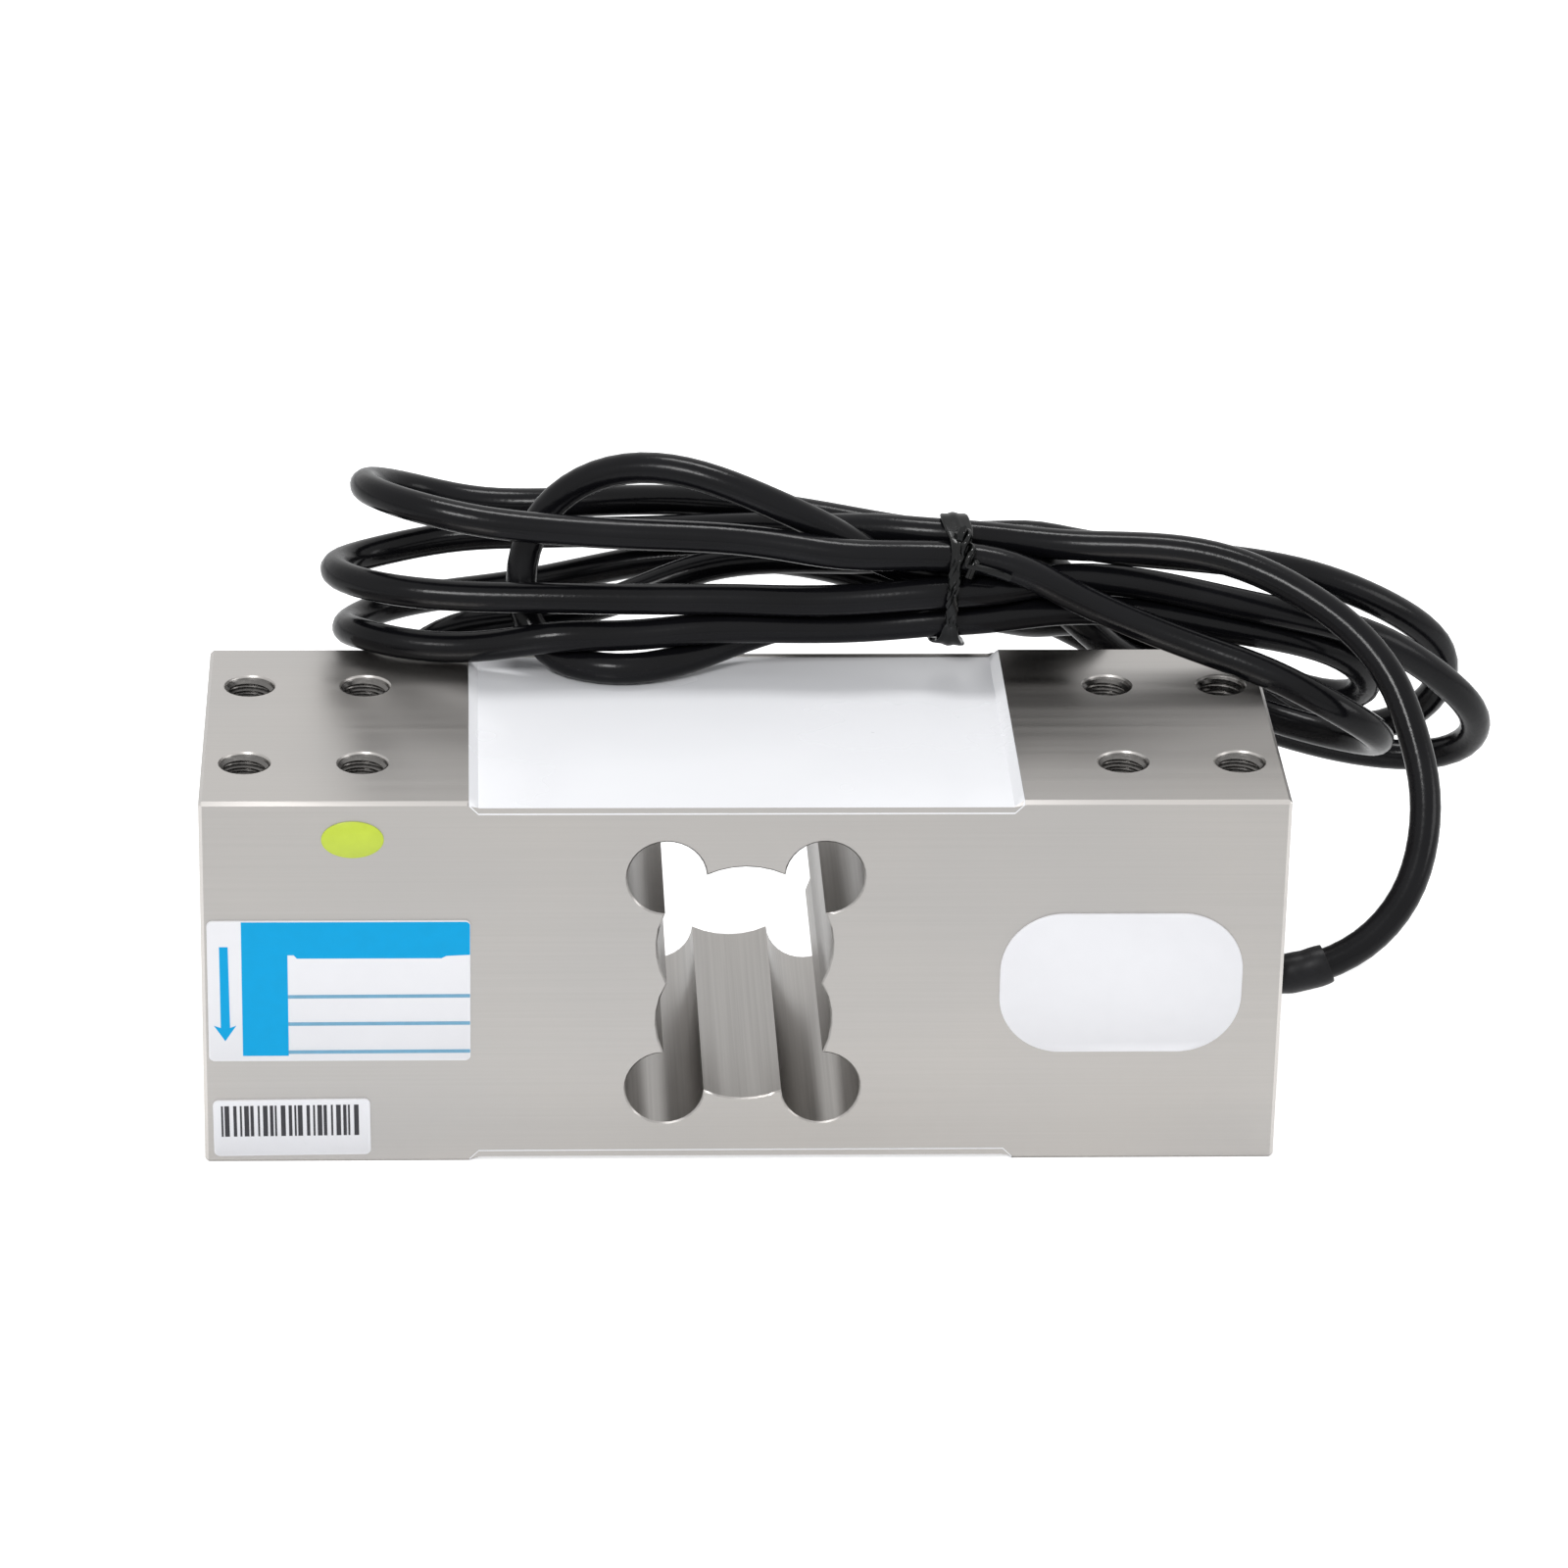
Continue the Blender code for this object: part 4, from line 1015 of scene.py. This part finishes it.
def rounded_outline(place, half, radius, steps=8, tilt=0.0):
    """A rectangle in X and Z with round corners, about its place."""
    outline = []
    for turn, (sx, sz) in enumerate(((1, 1), (-1, 1), (-1, -1), (1, -1))):
        for k in range(steps + 1):
            angle = (turn + k / steps) * pi / 2
            x = sx * (half[0] - radius) + radius * cos(angle)
            outline.append((x, sz * (half[1] - radius) + radius * sin(angle)))
    return moved(turned(outline, tilt), place)


def add_film(name, outline, look, replaced, edge, thickness=LABEL_THICKNESS):
    """A label on the front face, with its front edge eased."""
    front = FRONT_Y - thickness
    middle_x, middle_z = (sum(part) / len(outline) for part in zip(*outline))
    inner = []
    for x, z in outline:
        out_x, out_z = x - middle_x, z - middle_z
        share = edge / hypot(out_x, out_z)
        inner.append((x - out_x * share, front, z - out_z * share))
    rings = [[(x, y, z) for x, z in outline] for y in (FRONT_Y, front + edge)]
    bm = bmesh.new()
    loft(bm, [*rings, inner])
    add_mesh(name, bm, look, (replaced,), radians(50))


def add_print(name, outlines, look, smooth_angle=None):
    """Print on a label's face, as thin flat pieces."""
    bm = bmesh.new()
    for outline in outlines:
        sides = (LABEL_FACE_Y, LABEL_FACE_Y - PRINT_THICKNESS)
        loft(bm, [[(x, y, z) for x, z in outline] for y in sides])
    add_mesh(name, bm, look, (), smooth_angle)


def make_rating_label(looks):
    """White label: blue header and column, three rules and a load arrow, with no lettering."""
    place, half = label_place(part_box("rating_label"))
    outline = rounded_outline(place, half, LABEL_CORNER)
    add_film("rating_label_sheet", outline, looks["label"], "rating_label", 0.0001)
    left, bottom = place[0] - half[0], place[1] - half[1]
    right, header_top = place[0] + half[0] - PRINT_MARGIN, place[1] + half[1] - PRINT_MARGIN
    header_base = bottom + 0.0186
    column_left, column_right = left + 0.0055, left + 0.0129
    column_base = bottom + 0.0010
    lip, corner, corner_steps = 0.0006, 0.0007, 6
    field = [
        (column_left, column_base), (column_right, column_base),
        (column_right, header_base + lip), (column_right + 0.0010, header_base + lip),
        (column_right + 0.0015, header_base), (right - 0.0046, header_base),
        (right - 0.0038, header_base + 0.7 * lip), (right, header_base + lip),
    ]
    for k in range(corner_steps + 1):
        turn = k / corner_steps * pi / 2
        x = right - corner + corner * cos(turn)
        field.append((x, header_top - corner + corner * sin(turn)))
    field.append((column_left, header_top))
    add_print("label_header_field", [field], looks["blue"], radians(50))
    rules = [
        [
            (column_right, base), (right, base + RULE_RISE),
            (right, base + RULE_RISE + RULE_THICKNESS), (column_right, base + RULE_THICKNESS),
        ]
        for base in (bottom + height for height in RULE_HEIGHTS)
    ]
    add_print("label_rules", rules, looks["rule"])
    arrow = [
        (0, 0), (0.0018, 0.0028), (0.0008, 0.0024), (0.00065, 0.0170),
        (-0.00075, 0.0170), (-0.0007, 0.0024), (-0.0018, 0.0028),
    ]
    arrow = moved(arrow, (left + 0.0027, bottom + 0.0037))
    add_print("label_load_arrow", [arrow], looks["blue"], radians(50))


def make_barcode_label(looks):
    """Small white label with plain bars, whose widths follow a simple rule."""
    place, _ = label_place(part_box("barcode_label"))
    half_length, half_height = BARCODE_HALF
    outline = rounded_outline(place, BARCODE_HALF, LABEL_CORNER, tilt=BARCODE_TILT)
    add_film("barcode_label_sheet", outline, looks["label"], "barcode_label", 0.0001)
    foot, head = BAR_FOOT - half_height, half_height - BAR_HEAD
    across, bars = BAR_MARGINS[0] - half_length, []
    while across < half_length - BAR_MARGINS[1]:
        end = across + BAR_WIDTH + BAR_WIDTH_STEP * (len(bars) * 5 % 3)
        corners = ((across, foot), (end, foot), (end, head), (across, head))
        across = end + BAR_GAP + BAR_GAP_STEP * (len(bars) * 7 % 4)
        bars.append(moved(turned(corners, BARCODE_TILT), place))
    add_print("label_bars", bars, looks["bars"])


def make_front_stickers(looks):
    """The lime oval, and the label with round ends over the wiring pocket."""
    place, half = label_place(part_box("oval_sticker"))
    add_film("oval_sticker_film", moved(oval(*half, 72), place), looks["oval"],
             "oval_sticker", 0.00008, LABEL_THICKNESS * 0.6)
    place, half = label_place(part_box("pocket_label"))
    outline = rounded_outline(place, half, 0.0102, 20)
    add_film("pocket_label_film", outline, looks["label"], "pocket_label", 0.00015)


def make_sheet(side, top, looks):
    """The white sheet that lines one recess, up its sloping ends and over its side edges."""
    flat_half = END_X - PAD_LENGTH - RECESS_DEPTH
    reach = flat_half + RECESS_DEPTH - 2 * SHEET_LIFT
    flat_depth = -FRONT_Y - EDGE_BREAK
    even = [k / SHEET_STEPS - 1 for k in range(2 * SHEET_STEPS + 1)]
    along = [-reach, -(reach + flat_half) / 2, *(flat_half * share for share in even)]
    along += [-x for x in reversed(along[:2])]
    across = [-flat_depth - EDGE_BREAK - SHEET_LIFT, -flat_depth - EDGE_BREAK / 2]
    across += [flat_depth * share for share in even]
    across += [-y for y in reversed(across[:2])]
    bm = bmesh.new()
    layers = []
    for rise in (SHEET_LIFT, SHEET_LIFT + SHEET_THICKNESS):
        highest = TOP_Z - SHEET_BELOW_TOP + SHEET_SQUEEZE * rise
        grid = []
        for x in along:
            floor = TOP_Z - RECESS_DEPTH + max(0.0, abs(x) - flat_half)
            row = []
            for y in across:
                z = min(floor + rise - max(0.0, abs(y) - flat_depth), highest)
                row.append(bm.verts.new((x, y, z if top else TOP_Z - z)))
            grid.append(row)
        layers.append(grid)
    lower, upper = layers
    for grid in layers:
        for a, b in zip(grid, grid[1:]):
            for j in range(len(across) - 1):
                bm.faces.new((a[j], a[j + 1], b[j + 1], b[j]))
    last_i, last_j = len(along) - 1, len(across) - 1
    rim = [(i, 0) for i in range(last_i)] + [(last_i, j) for j in range(last_j)]
    rim += [(last_i - i, last_j - j) for i, j in rim]
    for (i, j), (m, n) in zip(rim, rim[1:] + rim[:1]):
        bm.faces.new((lower[i][j], lower[m][n], upper[m][n], upper[i][j]))
    add_mesh(f"recess_sheet_{side}", bm, looks["sheet"],
             (f"gauge_cover_{side}",), radians(30))


def finish_hidden_nodes(looks):
    """Finishes for the solids that stay as packed, most of them inside."""
    choice = {
        "strain_gauge": "gauge", "solder_terminals": "terminal", "gauge_sealant": "sealant",
        "gauge_wires": "wires", "compensation_board": "board", "trim_resistor": "resistor",
        "pocket_potting": "sealant", "cable_jacket_end": "cable", "cable_ferrule": "steel",
        **{f"core_{colour}": colour for colour in CORE_COLOURS},
    }
    for name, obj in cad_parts.items():
        for start, look in choice.items():
            if name.startswith(start):
                for material_slot in obj.material_slots:
                    material_slot.material = looks[look]


def area_light(name, place, size, power):
    data = bpy.data.lights.new(name, "AREA")
    data.shape = "RECTANGLE"
    data.size, data.size_y = size
    data.energy = power
    turn = (Vector(LIGHT_AIM) - Vector(place)).to_track_quat("-Z", "Y").to_matrix().to_4x4()
    new_object(name, data).matrix_world = Matrix.Translation(place) @ turn


def make_world():
    """A soft fill light, and plain white for what the camera, mirrors and clear things see."""
    world = bpy.data.worlds.new("studio")
    bpy.context.scene.world = world
    world.use_nodes = True
    tree = world.node_tree
    tree.nodes.clear()
    path = add_node(tree, "ShaderNodeLightPath", {}).outputs
    seen = math_node(tree, "MAXIMUM", path["Is Camera Ray"], path["Is Glossy Ray"])
    seen = math_node(tree, "MAXIMUM", seen, path["Is Transmission Ray"])
    fill, white = (
        add_node(tree, "ShaderNodeBackground", {"Color": (*colour, 1), "Strength": strength})
        for colour, strength in ((FILL_COLOUR, FILL_STRENGTH), ((1, 1, 1), 1.0))
    )
    mixed = {0: seen, 1: fill.outputs[0], 2: white.outputs[0]}
    choose = add_node(tree, "ShaderNodeMixShader", mixed)
    add_node(tree, "ShaderNodeOutputWorld", {"Surface": choose.outputs[0]})


def floor_finish():
    """White that keeps the shadow; glossy rays see it dark below the body, and fading beside it."""
    made = bpy.data.materials.new("studio_floor")
    made.use_nodes = True
    tree = made.node_tree
    tree.nodes.clear()
    path = add_node(tree, "ShaderNodeLightPath", {}).outputs
    place = add_node(tree, "ShaderNodeTexCoord", {}).outputs["Object"]
    split = add_node(tree, "ShaderNodeSeparateXYZ", {0: place}).outputs
    along, ahead = (math_node(tree, "ABSOLUTE", split[axis]) for axis in "XY")
    past_end = math_node(tree, "GREATER_THAN", along, END_X)
    past_side = math_node(tree, "GREATER_THAN", ahead, BODY_HIGH.y)
    beside = math_node(tree, "MAXIMUM", past_end, past_side)
    mirrored = math_node(tree, "MULTIPLY", beside, path["Is Glossy Ray"])
    fade = remap(tree, ahead, MIRRORED_REACH, MIRRORED_GLOW)
    mirrored = math_node(tree, "MULTIPLY", mirrored, fade)
    strength = math_node(tree, "MULTIPLY_ADD", path["Is Camera Ray"], FLOOR_GLOW, mirrored)
    matt = add_node(tree, "ShaderNodeBsdfDiffuse", {"Color": (*FLOOR_COLOUR, 1)})
    glow = add_node(tree, "ShaderNodeEmission", {"Strength": strength})
    both = add_node(tree, "ShaderNodeAddShader", {0: matt.outputs[0], 1: glow.outputs[0]})
    add_node(tree, "ShaderNodeOutputMaterial", {"Surface": both.outputs[0]})
    return made


def make_studio():
    """A white floor, a white world behind it, and soft lights."""
    make_world()
    bm = bmesh.new()
    bmesh.ops.create_circle(bm, cap_ends=True, radius=FLOOR_RADIUS, segments=96)
    floor = new_object("studio_floor", new_mesh("studio_floor", bm, floor_finish()))
    for light in LIGHTS:
        area_light(*light)


def main():
    bpy.context.scene.view_settings.view_transform = "Standard"
    looks = make_looks()
    make_camera()
    make_cable(looks)
    make_body(looks)
    make_threads(looks)
    make_rating_label(looks)
    make_barcode_label(looks)
    make_front_stickers(looks)
    make_sheet("top", True, looks)
    make_sheet("base", False, looks)
    finish_hidden_nodes(looks)
    make_studio()


main()
